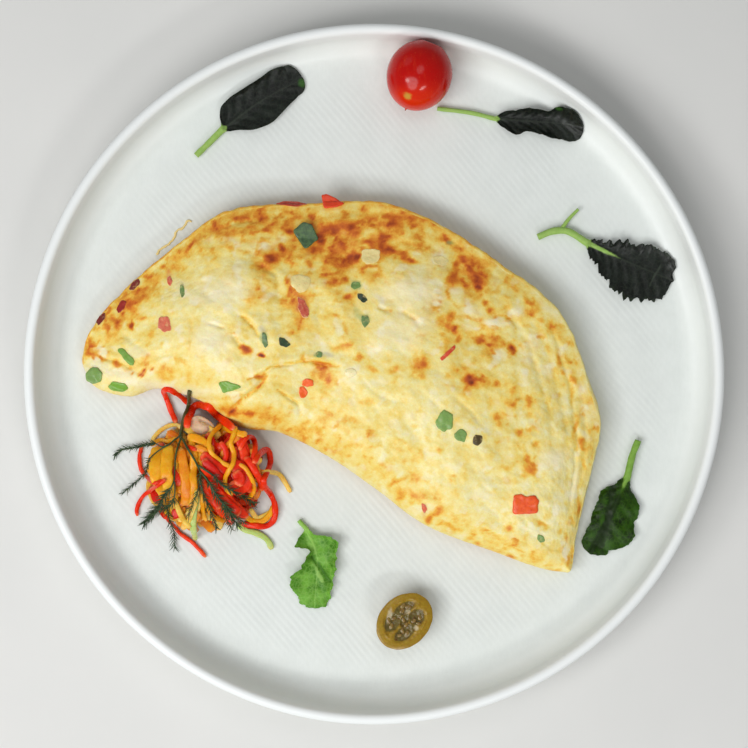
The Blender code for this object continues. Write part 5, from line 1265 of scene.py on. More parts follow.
LEAVES = {
    "leaf_top_left": dict(
        stem=[(-69.5, 85.3), (-64.2, 90.5), (-59.5, 95.2)],
        blade=[(-59.5, 95.2), (-44.2, 106.6), (-27.6, 115.4)],
        left=[1.2, 6.8, 8.6, 9.0, 9.3, 9.8, 10.2, 8.7, 1.2],
        right=[1.2, 3.8, 7.4, 9.1, 9.5, 8.4, 6.8, 5.0, 1.2],
        radius=1.3, cup=2.2, wave=(0.4, 2.0), veins=6, teeth=(0, 0), rib=0.1, look="dark_leaf",
    ),
    "leaf_top_right": dict(
        stem=[(24.7, 103.7), (37.6, 102.1), (46.9, 99.8)],
        blade=[(46.9, 99.8), (64, 98.6), (82.6, 97.6)],
        left=[0.9, 3, 3.9, 4.8, 5.5, 5.8, 9.4, 8, 1.4],
        right=[0.9, 4, 6, 4.2, 5.1, 6.3, 6.8, 6.7, 1.6],
        radius=0.9, cup=2.6, wave=(0.8, 2.5), veins=7, teeth=(5, 0.2), rib=0.1, look="dark_leaf",
    ),
    "leaf_right": dict(
        stem=[(64, 53.5), (70, 55.8), (76, 55.6), (82.9, 51.4)],
        blade=[(82.9, 51.4), (100, 43.5), (116.5, 36.6)],
        left=[1.5, 3.3, 4.3, 7, 7, 9.4, 9.5, 9, 2.4],
        right=[1.5, 5.5, 7.8, 10.9, 12.8, 13.5, 12.1, 10.1, 2.4],
        radius=1.4, cup=1.6, wave=(0.8, 3.0), veins=7, teeth=(12, 1.3), rib=0.55, look="dark_leaf",
    ),
    "leaf_lower_right": dict(
        stem=[(103.2, -25.9), (100.9, -31.8), (99, -40)],
        blade=[(99, -40), (92, -55.5), (84.4, -70)],
        left=[1.8, 3.5, 8.8, 10.0, 10.8, 12.3, 10.6, 6.2, 1.3],
        right=[1.4, 3.2, 6.7, 7.0, 6.6, 6.0, 5.6, 5.2, 1.3],
        radius=1.4, cup=-2.4, wave=(1.0, 3.5), veins=6, teeth=(4, 0.5), rib=0.22, look="green_leaf",
    ),
    "lettuce_leaf": dict(
        stem=[(-29.4, -57.2), (-28.2, -58.6), (-26.5, -60.4)],
        blade=[(-26.5, -60.4), (-22.2, -72), (-23.4, -91.6)],
        left=[1.2, 2.6, 9.2, 7.8, 7, 6.4, 6.2, 5.6, 1.4],
        right=[1.4, 6.6, 2.6, 4.4, 6.4, 10.1, 10.1, 6.6, 1.4],
        radius=0.9, cup=2.4, wave=(1.3, 4.0), veins=5, teeth=(5, 0.7), rib=0.4, look="light_leaf",
    ),
}
# Fold lines on single leaves: path, half width, darkness (painted shade along the fold; paler, a painted highlight,
# when negative), depth of the crease
LEAF_MARKS = {
    "leaf_lower_right": [([(93.2, -44.0), (91.6, -53.0), (90.6, -61.0), (88.6, -67.4)], 1.6, 1.0, 0.6)],
    "lettuce_leaf": [
        ([(-24.2, -71.4), (-21.0, -75.6), (-17.2, -80.8)], 0.9, 1.0, 0.8),
        ([(-23.2, -73.8), (-21.8, -77.6), (-20.2, -80.8)], 1.1, -0.8, -0.3),
        ([(-26.4, -64.0), (-23.0, -70.0)], 1.4, -0.5, -0.2),
    ],
    "leaf_right": [([(107.7, 34.5), (109.4, 37.9), (111.9, 42.6)], 0.45, -0.7, 0.1)],
}
# Green spots at the tips of single leaves: place and radius
LEAF_TIPS = {
    "leaf_top_left": (-27.9, 113.8, 2.2), "leaf_top_right": (73.6, 105.9, 1.9), "lettuce_leaf": (-30.0, -91.0, 0.1),
    "leaf_right": (0, 0, 0.1), "leaf_lower_right": (84, -71, 1.5),
}
LEAF_COLOURS = {
    "dark_leaf": dict(
        dark=(6, 9, 6), light=(22, 28, 22), vein=(54, 62, 50), stem=(128, 170, 74), tip=(166, 196, 108),
        edge=(28, 42, 22),
    ),
    "green_leaf": dict(
        dark=(12, 28, 0), light=(42, 78, 6), vein=(66, 104, 20), stem=(96, 140, 46), tip=(144, 182, 86),
        edge=(50, 86, 22),
    ),
    "light_leaf": dict(
        dark=(60, 114, 16), light=(114, 170, 60), vein=(156, 198, 104), stem=(130, 180, 74), tip=(150, 194, 94),
        edge=(92, 152, 38),
    ),
}
SIDE_STALK = [(72.5, 55.6), (76, 60.4), (79.8, 64.4)]
STEM_ROWS = 26
BLADE_ROWS = 150
LEAF_COLUMNS = 112


def on_plate(x, y, height):
    """Points this high off the plate's inner face, in mm, where a thin thing laid at plan x, y would lie."""
    reach = np.maximum(np.hypot(x, y), 1e-6)
    bend = np.clip((reach - FLOOR_RADIUS) / COVE_RADIUS, 0, math.pi / 2)
    radius = np.where(reach > FLOOR_RADIUS, FLOOR_RADIUS + (COVE_RADIUS - height) * np.sin(bend), reach)
    z = FLOOR_HEIGHT + COVE_RADIUS - (COVE_RADIUS - height) * np.cos(bend)
    return np.stack([x * radius / reach, y * radius / reach, z], axis=-1)


def leaf_look(name):
    shades = {key: srgb(*shade) for key, shade in LEAF_COLOURS[name].items()}
    gloss = 0.4 if name == "dark_leaf" else 0.44
    look = Look(name, Roughness=gloss, Subsurface_Weight=0.06, Subsurface_Scale=0.0008)
    look.shader.inputs["Specular IOR Level"].default_value = 0.26 if name == "dark_leaf" else 0.16
    patch = look.noise(5, 4, 0.6)
    colour = look.mix(look.level(patch, 0.3, 0.7), shades["dark"], shades["light"])
    cells = look.node("ShaderNodeTexVoronoi", feature="DISTANCE_TO_EDGE")
    look.put(cells.inputs["Vector"], look.place)
    cells.inputs["Scale"].default_value = 1000 / 1.7
    net = look.level(cells.outputs["Distance"], 0.0, 0.16, 1.0, 0.0)
    colour = look.mix(look.math("MULTIPLY", net, 0.22), colour, shades["vein"])
    vein = look.math("ADD", look.value("vein"), look.sway(look.noise(1.2, 3), 0.2))
    colour = look.mix(look.level(vein, 0.3, 1.1, 0.0, 0.45), colour, shades["vein"])
    colour = look.mix(look.level(look.value("edge"), 0.5, 1.0, 0.0, 0.7), colour, shades["edge"])
    bloom = look.level(look.noise(2.2, 3, 0.7), 0.5, 0.8, 0.0, 0.22)
    colour = look.mix(bloom, colour, shades["vein"])
    stalk = look.mix(look.noise(1.6, 3), shades["stem"], shades["tip"])
    stem = look.math("ADD", look.value("stalk"), look.sway(look.noise(1.5, 3), 0.25))
    colour = look.mix(look.level(stem, 0.25, 0.8), colour, stalk)
    # Painted shade: the folded leaf is darkened along its midrib crease.
    crease = look.math("ADD", look.value("crease"), look.sway(look.noise(1.3, 2), 0.2))
    colour = look.mix(look.level(crease, 0.2, 0.9, 0.0, 0.8), colour, shades["dark"])
    # Painted shade along leaf folds, and a painted highlight, paler, where the darkness is negative.
    mark = look.math("ADD", look.value("mark"), look.sway(look.noise(1.1, 3), 0.15))
    colour = look.mix(look.level(mark, 0.2, 0.9, 0.0, 0.8), colour, look.mix(0.25, shades["dark"], srgb(44, 60, 34)))
    colour = look.mix(look.level(mark, -0.15, -0.8, 0.0, 0.7), colour, shades["vein"])
    tip = look.math("ADD", look.value("tip"), look.sway(look.noise(1.1, 3), 0.3))
    colour = look.mix(look.level(tip, 0.3, 0.9, 0.0, 0.8), colour, srgb(50, 92, 28))
    normal = look.bump(net, 0.12, -0.5)
    normal = look.bump(look.noise(0.9, 3, 0.6), 0.08, 0.6, normal)
    rough = look.level(look.noise(1.8, 3), 0.25, 0.75, gloss - 0.08, gloss + 0.12)
    return look.finish(colour, rough, normal)


def leaf_body(name, shape, seed):
    """Points, faces and painted values of one leaf with its stem."""
    stem = smooth_path(shape["stem"], np.linspace(0, 1, STEM_ROWS + 1)[:-1])
    shares = np.linspace(0, 1, BLADE_ROWS)
    line = np.vstack([stem, smooth_path(shape["blade"], shares)])
    share = np.append(np.zeros(STEM_ROWS), shares)
    ahead = np.gradient(line, axis=0)
    ahead /= np.linalg.norm(ahead, axis=1, keepdims=True)
    beside = np.column_stack([-ahead[:, 1], ahead[:, 0]])
    stations = np.linspace(0, 1, 9)
    blade = np.append(np.zeros(STEM_ROWS), smoothstep(0.0, 0.07, shares))
    radius = shape["radius"] * (1 + 0.12 * ripple(np.arange(len(line)) / 6, 0 * share, 1.0, seed))
    radius = radius * np.append(np.linspace(0.92, 1, STEM_ROWS), np.ones(BLADE_ROWS))
    teeth, bite = shape["teeth"]
    spans = []
    for hand, shift in (("left", 0.0), ("right", 0.43)):
        width = smooth_value(stations, shape[hand], share)
        phase = np.mod(share * teeth + shift + 0.3 * ripple(share * 8, 0 * share, 1.0, seed + 5), 1)
        tooth = np.where(phase < 0.7, phase / 0.7, (1 - phase) / 0.3)
        ragged = 0.22 * ripple(share * 60, 0 * share + shift, 4.0, seed + 9) * (bite > 0.2)
        width = width + (bite * (tooth - 0.6) + ragged) * np.sin(np.pi * share) ** 0.5
        last = shape[hand][7]
        past = np.clip((share - 0.875) / 0.125, 0, 1)
        width = np.where(past > 0, last * np.sqrt(np.clip(1 - past**2.4, 0.003, 1)), width)
        spans.append(np.maximum(width, 0.25))
    angle = np.linspace(0, TAU, LEAF_COLUMNS, endpoint=False)[None, :]
    side = np.cos(angle)
    side = np.sign(side) * np.abs(side) ** 0.9
    upper = np.sin(angle)
    span = np.where(side > 0, spans[0][:, None], spans[1][:, None])
    span = span * blade[:, None] + radius[:, None] * (1 - blade[:, None])
    across = np.abs(side) * span
    x = line[:, :1] + beside[:, :1] * side * span
    y = line[:, 1:] + beside[:, 1:] * side * span
    out_x = beside[:, :1] * side + ahead[:, :1] * 1.4 * smoothstep(0.8, 1, share)[:, None]
    out_y = beside[:, 1:] * side + ahead[:, 1:] * 1.4 * smoothstep(0.8, 1, share)[:, None]
    long = np.maximum(np.hypot(out_x, out_y), 0.3)
    rim = np.maximum(smoothstep(0.6, 1.0, np.abs(side)), smoothstep(0.93, 1.0, share)[:, None])
    jag = bite * (0.9 * ripple(x, y, 2.2, seed + 31) + 0.5 * ripple(x, y, 1.1, seed + 33)) * rim * blade[:, None]
    x = x + out_x / long * jag
    y = y + out_y / long * jag
    size, turns = shape["wave"]
    cup = shape["cup"]
    bent = cup * side**2 if cup > 0 else -cup * (1 - side**2)
    waves = size * np.abs(side) ** 3 * (1 + np.sin(turns * TAU * share[:, None] + 1.5 * side))
    lift = (bent + waves) * np.sin(np.pi * np.minimum(share[:, None] + 0.12, 1)) ** 0.7 * blade[:, None]
    slant = share[:, None] - 0.2 * np.abs(side) ** 0.85
    count = shape["veins"]
    place = np.mod(slant * count * 1.25 + 0.25 * (side > 0), 1) - 0.5
    fine = np.exp(-((place / 0.055) ** 2)) * smoothstep(0.99, 0.6, np.abs(side)) * smoothstep(0.02, 0.1, share[:, None])
    rib_width = 0.75 * (1 - 0.75 * share[:, None]) * shape["radius"]
    rib = np.exp(-((across / rib_width) ** 2))
    green_rib = rib * smoothstep(shape["rib"], shape["rib"] * 0.3, share[:, None])
    pillow = 0.1 * np.cos(place * TAU) * -1 * smoothstep(0.0, 0.2, np.abs(side)) * smoothstep(1.0, 0.8, np.abs(side))
    crumple = 0.26 * ripple(x, y, 5.5, seed + 21) + 0.07 * ripple(x, y, 2.2, seed + 22)
    body = 0.2 + 0.14 * (1 - np.abs(side) ** 4) + 0.55 * rib * (1 - share[:, None]) * shape["radius"]
    body = body * np.abs(upper) ** 0.5
    round_stem = radius[:, None] * np.abs(upper)
    half = body * blade[:, None] + round_stem * (1 - blade[:, None])
    middle = 0.6 + shape["radius"] * (1 - blade[:, None]) + 0.45 * blade[:, None]
    middle = middle + lift + (pillow + crumple * (0.4 + side**2)) * blade[:, None] - 0.18 * rib * blade[:, None]
    height = np.maximum(middle + half * np.sign(upper), 0.25)

    def spread(values):
        values = np.broadcast_to(values, x.shape)
        return np.append(values.reshape(-1), [values[0].mean(), values[-1].mean()])

    stalk = (1 - blade[:, None]) + green_rib * (upper > -0.2) * blade[:, None]
    mark = np.zeros(x.shape)
    for path, width, dark, depth in LEAF_MARKS.get(name, []):
        gap = path_gap(x + 0.4 * ripple(x, y, 2.0, seed + 41), y, np.array(path))[0]
        line_share = np.exp(-((gap / width) ** 2))
        mark = mark + dark * line_share
        height = np.maximum(height - depth * line_share, 0.25)
    points, faces = capped(on_plate(x, y, height) * MM)
    tx, ty, size = LEAF_TIPS[name]
    tip = np.exp(-(((x - tx) ** 2 + (y - ty) ** 2) / size**2))
    values = dict(
        mark=spread(mark),
        tip=spread(tip),
        vein=spread(np.clip(0.55 * fine + 0.9 * rib, 0, 1) * blade[:, None]),
        edge=spread(smoothstep(0.86, 1.0, np.abs(side)) * blade[:, None]),
        stalk=spread(np.clip(stalk, 0, 1)),
        crease=spread(np.exp(-((across / 1.6) ** 2)) * blade[:, None] * (cup < 0) * smoothstep(0.12, 0.3, share[:, None])),
    )
    return points, faces, values


def build_leaves():
    looks = {name: leaf_look(name) for name in LEAF_COLOURS}
    for number, (name, shape) in enumerate(LEAVES.items()):
        pile = Pile()
        points, faces, values = leaf_body(name, shape, 300 + 30 * number)
        pile.add(points, faces, **values)
        if name == "leaf_right":
            path = smooth_path(SIDE_STALK, np.linspace(0, 1, 30))
            placed = on_plate(path[:, 0], path[:, 1], 1.6 + 0.5 * np.linspace(0, 1, 30)) * MM
            thick = np.linspace(1.7, 1.15, 30) * MM
            points, faces = sweep(placed, thick, thick, sides=14, square=1.0)
            pile.add(points, faces, mark=0.0, tip=0.0, vein=0.0, edge=0.0, stalk=1.0, crease=0.0)
        pile.build(name + "_blade", looks[shape["look"]], shape["look"], (name,))


# Heap of shredded vegetables

HEAP_CENTRE = (-65.5, -39.0)
HEAP_RADIUS = 26.5
CORE_SCALE = 0.6
CORE_HEIGHT = 7.0
FILLERS = 190
STRAND_SLIMMING = 0.9
SHRED_SHADES = {
    "red": [(0.15, (214, 26, 2)), (0.5, (234, 50, 4)), (0.85, (244, 82, 18))],
    "deepred": [(0.15, (178, 10, 2)), (0.5, (206, 22, 3)), (0.85, (226, 42, 8))],
    "carrot": [(0.15, (228, 138, 8)), (0.5, (238, 164, 20)), (0.85, (244, 192, 56))],
    "deep": [(0.15, (212, 104, 8)), (0.5, (230, 136, 16)), (0.85, (238, 166, 40))],
    "yellow": [(0.15, (226, 172, 48)), (0.5, (242, 198, 86)), (0.85, (246, 218, 132))],
    "green": [(0.15, (158, 184, 84)), (0.5, (182, 204, 110)), (0.85, (204, 218, 146))],
    "pink": [(0.15, (204, 158, 124)), (0.5, (216, 182, 150)), (0.85, (226, 202, 176))],
}
TRANSLUCENT_PIECE = [
    (-71.0, -17.0), (-68.0, -15.8), (-64.0, -17.6), (-61.0, -20.6), (-64.2, -22.4), (-67.0, -24.0), (-71.2, -21.0),
]


class Ground:
    """Height in mm of what lies under a plan point; it rises as pieces are laid down."""

    STEP = 0.5
    LOW = np.array([-118.0, -92.0])

    def __init__(self, trees, columns=190, rows=190):
        self.height = np.full((columns, rows), REST)
        for i in range(columns):
            for j in range(rows):
                x, y = self.LOW + np.array([i, j]) * self.STEP
                self.height[i, j] = top_of(trees, x * MM, y * MM) / MM

    def cells(self, x, y):
        i = np.clip(((x - self.LOW[0]) / self.STEP).round().astype(int), 0, self.height.shape[0] - 1)
        j = np.clip(((y - self.LOW[1]) / self.STEP).round().astype(int), 0, self.height.shape[1] - 1)
        return i, j

    def across(self, path, width):
        """Plan points over the width of a strand: one row for each point of its path."""
        ahead = np.gradient(path, axis=0)
        ahead /= np.maximum(np.linalg.norm(ahead, axis=1, keepdims=True), 1e-9)
        beside = np.column_stack([-ahead[:, 1], ahead[:, 0]])
        reach = np.linspace(-0.5, 0.5, max(int(width / 0.4), 3))[None, :, None] * width
        return path[:, None] + beside[:, None] * reach

    def under(self, path, width):
        spots = self.across(path, width)
        i, j = self.cells(spots[..., 0], spots[..., 1])
        return np.sort(self.height[i, j], axis=1)[:, -2]

    def lay(self, path, width, level):
        spots = self.across(path, width)
        i, j = self.cells(spots[..., 0], spots[..., 1])
        np.maximum.at(self.height, (i, j), np.broadcast_to(level[:, None], i.shape))


def eased(values, reach):
    """Values smoothed over this many neighbours either way."""
    window = np.hanning(2 * reach + 3)[1:-1]
    padded = np.pad(values, reach, mode="edge")
    return np.convolve(padded, window / window.sum(), mode="valid")


def settle(ground, path, width, thick, lift=0.0, ease=7, press=0.4):
    """Heights of a strand's middle as it lies over the ground, which it then adds to."""
    under = ground.under(path, width)
    spans = np.array([under[max(k - 2, 0) : k + 3].max() for k in range(len(under))])
    level = np.maximum(eased(spans, ease), under - press)
    level = eased(level, 2) + lift
    ground.lay(path, width * 0.8, level + thick * 0.55)
    return level + thick / 2


def shred_look(kind):
    look = Look(kind + "_shreds", Roughness=0.36, Subsurface_Weight=0.35, Subsurface_Scale=0.002)
    look.shader.inputs["Specular IOR Level"].default_value = 0.18
    look.shader.inputs["Coat Weight"].default_value = 0.12
    look.shader.inputs["Coat Roughness"].default_value = 0.18
    tone = look.math("ADD", look.value("tone"), look.sway(look.noise(2.2, 3, 0.6), 0.3))
    colour = look.ramp(tone, [(place, srgb(*shade)) for place, shade in SHRED_SHADES[kind]])
    fleck = look.level(look.noise(0.7, 3, 0.6), 0.5, 0.75, 0.0, 0.3)
    colour = look.mix(fleck, colour, look.mix(1.0, colour, srgb(222, 168, 120), "MULTIPLY"))
    ends = look.math("MULTIPLY", look.value("ends"), look.level(look.noise(1.1, 2), 0.3, 0.7, 0.2, 0.6))
    colour = look.mix(ends, colour, srgb(240, 176, 110))
    normal = look.bump(look.noise(0.8, 3, 0.6), 0.12, 0.7)
    normal = look.bump(look.noise(3.0, 2), 0.3, 0.4, normal)
    rough = look.level(look.noise(1.4, 3), 0.25, 0.75, 0.22, 0.42)
    return look.finish(colour, rough, normal)


def lay_strand(pile, ground, path, width, thick, lift, tone, seed, ease=7):
    """One shred along a plan path in mm, with uneven width, a slight twist and cut ends."""
    length = np.linalg.norm(np.diff(path, axis=0), axis=1).sum()
    count = max(int(length / 0.45), 12)
    path = smooth_path(path, np.linspace(0, 1, count))
    at = np.arange(count)
    path = path + 0.22 * np.column_stack([ripple(at / 9, at * 0 + 3, 1.0, seed), ripple(at / 9, at * 0 + 7, 1.0, seed)])
    middle = settle(ground, path, width, thick, lift, ease)
    wide = width * (1 + 0.16 * ripple(at / 8, at * 0, 1.0, seed + 1))
    deep = thick * (1 + 0.14 * ripple(at / 7, at * 0, 1.0, seed + 2))
    tips = np.minimum(np.minimum(at, at[::-1]) / 2.2, 1.0)
    wide = wide * (0.55 + 0.45 * tips)
    deep = deep * (0.5 + 0.5 * tips)
    roll = 0.3 * ripple(at / 16, at * 0, 1.0, seed + 3)
    points, faces = sweep(np.column_stack([path, middle]) * MM, wide * MM, deep * MM, sides=12, roll=roll)
    ring = np.repeat(at, 12)
    ends = np.append(1 - np.minimum(np.minimum(ring, count - 1 - ring) / 3, 1), [1, 1])
    shade = np.append(tone + 0.2 * ripple(ring / 10, ring * 0, 1.0, seed + 4), [tone, tone])
    points = points + 0.00006 * np.column_stack([
        ripple(points[:, 0] / MM, points[:, 1] / MM + points[:, 2] / MM, 0.9, seed + k) for k in (5, 6, 7)
    ])
    pile.add(points, faces, tone=shade, ends=ends)


def core_body():
    columns = 160
    turns = np.linspace(0, TAU, columns, endpoint=False)
    reach = HEAP_RADIUS * CORE_SCALE * (1 + 0.05 * np.cos(3 * turns + 0.6) + 0.04 * np.cos(5 * turns + 2.1))
    reach = reach * np.where(np.sin(turns) > 0.2, 0.92, 1.0)
    rows = []
    for share in np.linspace(0.01, 1, 56):
        x = HEAP_CENTRE[0] + reach * share * np.cos(turns)
        y = HEAP_CENTRE[1] + reach * share * np.sin(turns)
        dome = CORE_HEIGHT * (1 - share**2.4) ** 0.8
        sway_x = x + 2.5 * ripple(x, y, 9, 601)
        strands = np.cos(TAU * sway_x / 2.1) * 0.55 + 0.6 * ripple(x * 2.2, y * 0.6, 3.0, 603)
        lumps = 0.9 * ripple(x, y, 8, 605) + 0.2 * ripple(x, y, 1.4, 607)
        rows.append(np.column_stack([x, y, REST + 0.25 + np.maximum(dome + (strands + lumps) * (1 - share**5), 0)]))
    for share in (1.004, 0.98, 0.6, 0.05):
        x = HEAP_CENTRE[0] + reach * share * np.cos(turns)
        y = HEAP_CENTRE[1] + reach * share * np.sin(turns)
        rows.append(np.column_stack([x, y, np.full(columns, REST + (0.12 if share > 1 else 0.02))]))
    return capped(np.array(rows) * MM)


def build_heap(egg_tree, plate_tree):
    """The core, then loose shreds at random, then the shreds that show on top."""
    points, faces = core_body()
    core = Pile()
    tone = 0.4 + 0.3 * ripple(points[:, 0] / MM, points[:, 1] / MM, 4, 609)
    core.add(points, faces, tone=tone, ends=0.0)
    looks = {kind: shred_look(kind) for kind in SHRED_SHADES}
    body = core.build("shred_core", looks["carrot"], "shreds", ("shredded_vegetables",))
    ground = Ground([tree_of(body), egg_tree, plate_tree])
    piles = {kind: Pile() for kind in SHRED_SHADES}
    rng = np.random.default_rng(7)
    for number in range(FILLERS):
        turn = rng.uniform(0, TAU)
        reach = HEAP_RADIUS * 0.8 * math.sqrt(rng.uniform(0.05, 1))
        x = HEAP_CENTRE[0] + reach * math.cos(turn)
        y = HEAP_CENTRE[1] + reach * math.sin(turn) - 1.0
        length = rng.uniform(9, 22)
        heading = math.radians(rng.normal(-70, 38))
        bend = rng.normal(0, 0.07)
        steps = np.linspace(-0.5, 0.5, 9)
        turned = heading + bend * steps * length
        step = np.column_stack([np.cos(turned), np.sin(turned)]) * length / 8
        path = np.array([x, y]) + np.cumsum(step, axis=0) - step.sum(axis=0) / 2
        far = np.hypot(path[:, 0] - HEAP_CENTRE[0], path[:, 1] - HEAP_CENTRE[1])
        path = path[far < HEAP_RADIUS * 0.86]
        path = path[(path[:, 1] < -17 - 0.45 * np.maximum(path[:, 0] + 66, 0))]
        if len(path) < 4:
            continue
        redder = smoothstep(-70, -56, x + rng.normal(0, 4))
        kinds = ["red", "red", "deepred"] if rng.uniform() < 0.1 + 0.65 * redder else ["carrot", "deep", "yellow"]
        kind = kinds[int(rng.integers(len(kinds)))]
        width = rng.uniform(2.2, 4.0)
        lay_strand(piles[kind], ground, path, width, rng.uniform(0.8, 1.1), 0.0, rng.uniform(0.3, 0.7), 700 + number * 9, 9)
    levels = [(0.97, 0.0), (1.0, 0.3), (0.98, 0.75), (0.9, 0.95), (0.7, 1.0), (0.4, 1.02), (0.15, 1.02)]
    ring = rounded_outline(TRANSLUCENT_PIECE, 40)
    middle = ring.mean(axis=0)
    rows = []
    for scale, share in levels:
        flat = middle + (ring - middle) * scale
        i, j = ground.cells(flat[:, 0], flat[:, 1])
        height = eased(np.tile(ground.height[i, j], 3), 5)[40:80]
        rows.append(np.column_stack([flat, np.maximum(height, height.max() - 2.0) + 0.8 + share * 1.2]))
    piles["pink"].add(*capped(np.array(rows) * MM), tone=0.5, ends=0.0)
    ground.lay(ring[:, :2] * 0.6 + middle * 0.4, 5.0, np.full(len(ring), rows[3][:, 2].mean()))
    for number, (kind, width, thick, lift, path) in enumerate(HEAP_STRANDS):
        width = width * STRAND_SLIMMING
        tone = 0.5 + 0.16 * float(ripple(number * 2.3, 1.5, 1.0, 611))
        lay_strand(piles[kind], ground, np.array(path), width, thick, lift, tone, 2000 + number * 9)
    for kind, pile in piles.items():
        if pile.count:
            pile.build(kind + "_shreds", looks[kind], "shreds")
    return ground


# Dill sprig

STALK_WIDTH = 1.5
NEEDLE_RADIUS = 0.16


def dill_look():
    look = Look("dill", Roughness=0.45, Subsurface_Weight=0.05, Subsurface_Scale=0.0006)
    look.shader.inputs["Specular IOR Level"].default_value = 0.35
    patch = look.noise(3.5, 3, 0.6)
    colour = look.mix(look.level(patch, 0.3, 0.7), srgb(34, 58, 32), srgb(62, 86, 44))
    colour = look.mix(look.level(look.noise(1.1, 3), 0.45, 0.75, 0.0, 0.5), colour, srgb(44, 60, 48))
    stalk = look.mix(look.noise(1.8, 3), srgb(66, 66, 36), srgb(92, 88, 48))
    woody = look.math("ADD", look.value("stalk"), look.sway(look.noise(2.5, 3), 0.2))
    colour = look.mix(look.level(woody, 0.2, 0.9), colour, stalk)
    normal = look.bump(look.noise(0.7, 3, 0.6), 0.08, 0.7)
    return look.finish(colour, look.level(look.noise(1.5, 2), 0.3, 0.7, 0.38, 0.55), normal)


def build_sprig(ground):
    pile = Pile()
    rng = np.random.default_rng(19)
    top = Ground.__new__(Ground)
    top.height = ground.height.copy()
    for number, (width, start, needle, every, path) in enumerate(SPRIG_TWIGS):
        path = np.array(path)
        length = np.linalg.norm(np.diff(path, axis=0), axis=1).sum()
        count = max(int(length / 0.5), 12)
        line = smooth_path(path, np.linspace(0, 1, count))
        middle = settle(top, line, width, width, 0.15, ease=5, press=0.1)
        if number:
            middle = middle + 0.7 * np.sin(np.linspace(0.4, 2.6, count)) + 0.2
        share = np.linspace(0, 1, count)
        thick = width * (0.85 - 0.6 * share if number else 1 - 0.15 * share)
        thick = thick * (1 + 0.12 * ripple(np.arange(count) / 5, 0 * share, 1.0, 801 + number))
        spine = np.column_stack([line, middle])
        points, faces = sweep(spine * MM, thick * MM, thick * MM, sides=10, square=1.0)
        woody = 1.0 if number == 0 else 0.35
        stalk = np.append(np.repeat(woody * (1 - share * (0.3 if number == 0 else 1)), 10), [woody, 0])
        pile.add(points, faces, stalk=stalk)
        if needle == 0:
            continue
        ahead = np.gradient(line, axis=0)
        ahead /= np.maximum(np.linalg.norm(ahead, axis=1, keepdims=True), 1e-9)
        at = start * length
        side = 1
        while at < length * 1.001:
            k = min(int(at / length * (count - 1)), count - 1)
            side = -side
            far = at / length
            swing = side * math.radians(rng.uniform(24, 64)) * (1 - 0.35 * far)
            c, s = math.cos(swing), math.sin(swing)
            heading = np.array([ahead[k, 0] * c - ahead[k, 1] * s, ahead[k, 0] * s + ahead[k, 1] * c])
            reach = needle * rng.uniform(0.55, 1.15)
            steps = np.linspace(0, 1, 8)[:, None]
            bend = np.array([-heading[1], heading[0]]) * side * reach * rng.uniform(-0.25, 0.12)
            plan = line[k] + heading * reach * steps + bend * steps**2
            i, j = top.cells(plan[:, 0], plan[:, 1])
            drop = np.linspace(0, 1, 8)
            level = spine[k, 2] + rng.uniform(-0.2, 0.7) * np.sin(drop * math.pi) - 0.12 * reach * drop**2
            level = np.maximum(level, top.height[i, j] + 0.12)
            body = np.column_stack([plan, level])
            fat = 2 * NEEDLE_RADIUS * rng.uniform(0.85, 1.25) * (1 - 0.72 * drop**2)
            points, faces = sweep(body * MM, fat * MM, fat * MM, sides=6, square=1.0)
            pile.add(points, faces, stalk=0.0)
            at += every * rng.uniform(0.7, 1.3)
    pile.build("dill_fronds", dill_look(), "dill", ("dill_sprig",))


def build_lace(egg_tree, plate_tree):
    """The thin crisp thread of egg that ran out past the omelette's edge."""
    pile = Pile()
    line = smooth_path(LACE, np.linspace(0, 1, 60))
    at = np.arange(60)
    line = line + 0.25 * np.column_stack([ripple(at / 4, at * 0, 1.0, 901), ripple(at / 4, at * 0, 1.0, 903)])
    height = np.array([top_of([plate_tree], x * MM, y * MM, 0) / MM for x, y in line]) + 0.35
    width = 0.85 + 0.35 * ripple(at / 5, at * 0, 1.0, 905)
    points, faces = sweep(np.column_stack([line, height]) * MM, width * MM, 0.5 * MM, sides=10, square=1.0)
    toast = 0.78 + 0.2 * ripple(points[:, 0] / MM, points[:, 1] / MM, 2.0, 907)
    pile.add(points, faces, toast=toast, cream=0.0, green=0.0, red=0.0, grey=0.0)
    pile.build("crisp_lace", bpy.data.materials["cooked_egg"], "cooked_egg")


# Stage, light and camera


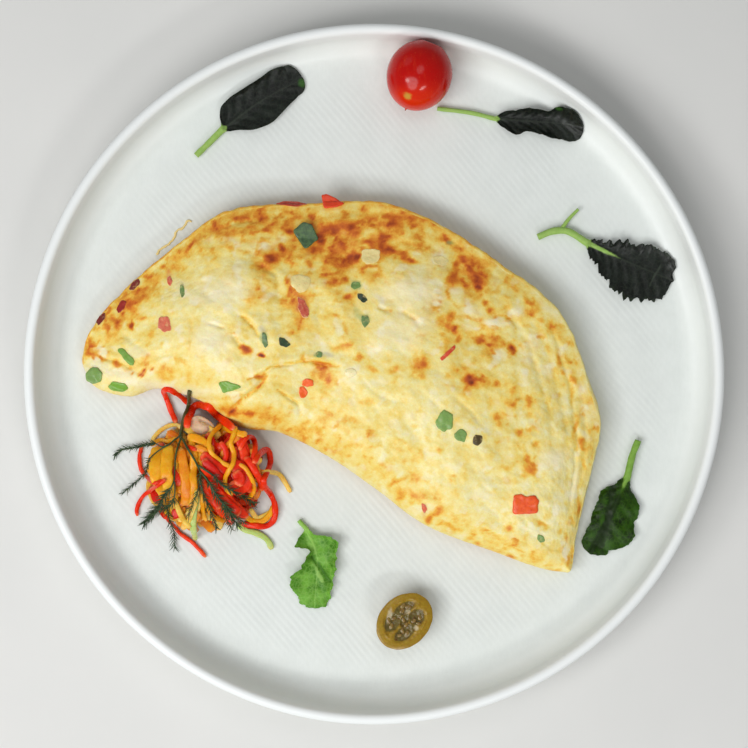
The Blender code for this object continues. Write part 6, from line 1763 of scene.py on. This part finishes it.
def add_light(name, turn, lift, away, size, power, colour=(1.0, 1.0, 1.0)):
    light = bpy.data.lights.new(name, "AREA")
    light.shape = "ELLIPSE"
    light.size, light.size_y = size
    light.energy = power
    light.color = colour
    item = bpy.data.objects.new(name, light)
    bpy.context.scene.collection.objects.link(item)
    c = math.cos(math.radians(lift))
    place = Vector((math.cos(math.radians(turn)) * c, math.sin(math.radians(turn)) * c, math.sin(math.radians(lift))))
    item.location = place * away
    item.rotation_euler = place.to_track_quat("Z", "Y").to_euler()
    return item


def floor_look():
    look = Look("pale_floor", Roughness=0.7)
    colour = look.mix(look.noise(60, 3, 0.6), srgb(214, 214, 211), srgb(222, 221, 218))
    return look.finish(colour, None, look.bump(look.noise(2, 3), 0.05, 0.5))


def build_stage():
    mesh = bpy.data.meshes.new("table_floor")
    reach = 3.0
    steps = np.linspace(-reach, reach, 13)
    points = [(x, y, -0.0002) for y in steps for x in steps]
    mesh.from_pydata(points, [], quads(13, 13, wrap=False).tolist())
    mesh.materials.append(floor_look())
    floor = bpy.data.objects.new("table_floor", mesh)
    bpy.context.scene.collection.objects.link(floor)
    scene = bpy.context.scene
    world = bpy.data.worlds.new("soft_room")
    world.use_nodes = True
    background = world.node_tree.nodes["Background"]
    background.inputs["Color"].default_value = (0.96, 0.985, 1.0, 1.0)
    background.inputs["Strength"].default_value = WORLD_LIGHT
    scene.world = world
    add_light("main_light", **MAIN_LIGHT)
    add_light("key_light", **KEY_LIGHT)
    add_light("side_light", **SIDE_LIGHT)
    add_light("fill_light", **FILL_LIGHT)
    add_light("top_light", **TOP_LIGHT)
    camera = bpy.data.cameras.new("overhead_camera")
    camera.lens = LENS
    camera.sensor_width = 36.0
    camera.clip_end = 20
    item = bpy.data.objects.new("overhead_camera", camera)
    item.location = (0, 0, CAMERA_HEIGHT)
    scene.collection.objects.link(item)
    scene.camera = item
    scene.view_settings.view_transform = "Standard"
    scene.view_settings.look = "None"


def main():
    plate = build_plate()
    plate_tree = tree_of(plate)
    egg = build_omelette()
    egg_tree = tree_of(egg)
    build_bits(egg_tree)
    build_lace(egg_tree, plate_tree)
    build_tomato()
    build_half()
    build_leaves()
    ground = build_heap(egg_tree, plate_tree)
    build_sprig(ground)
    build_stage()


main()
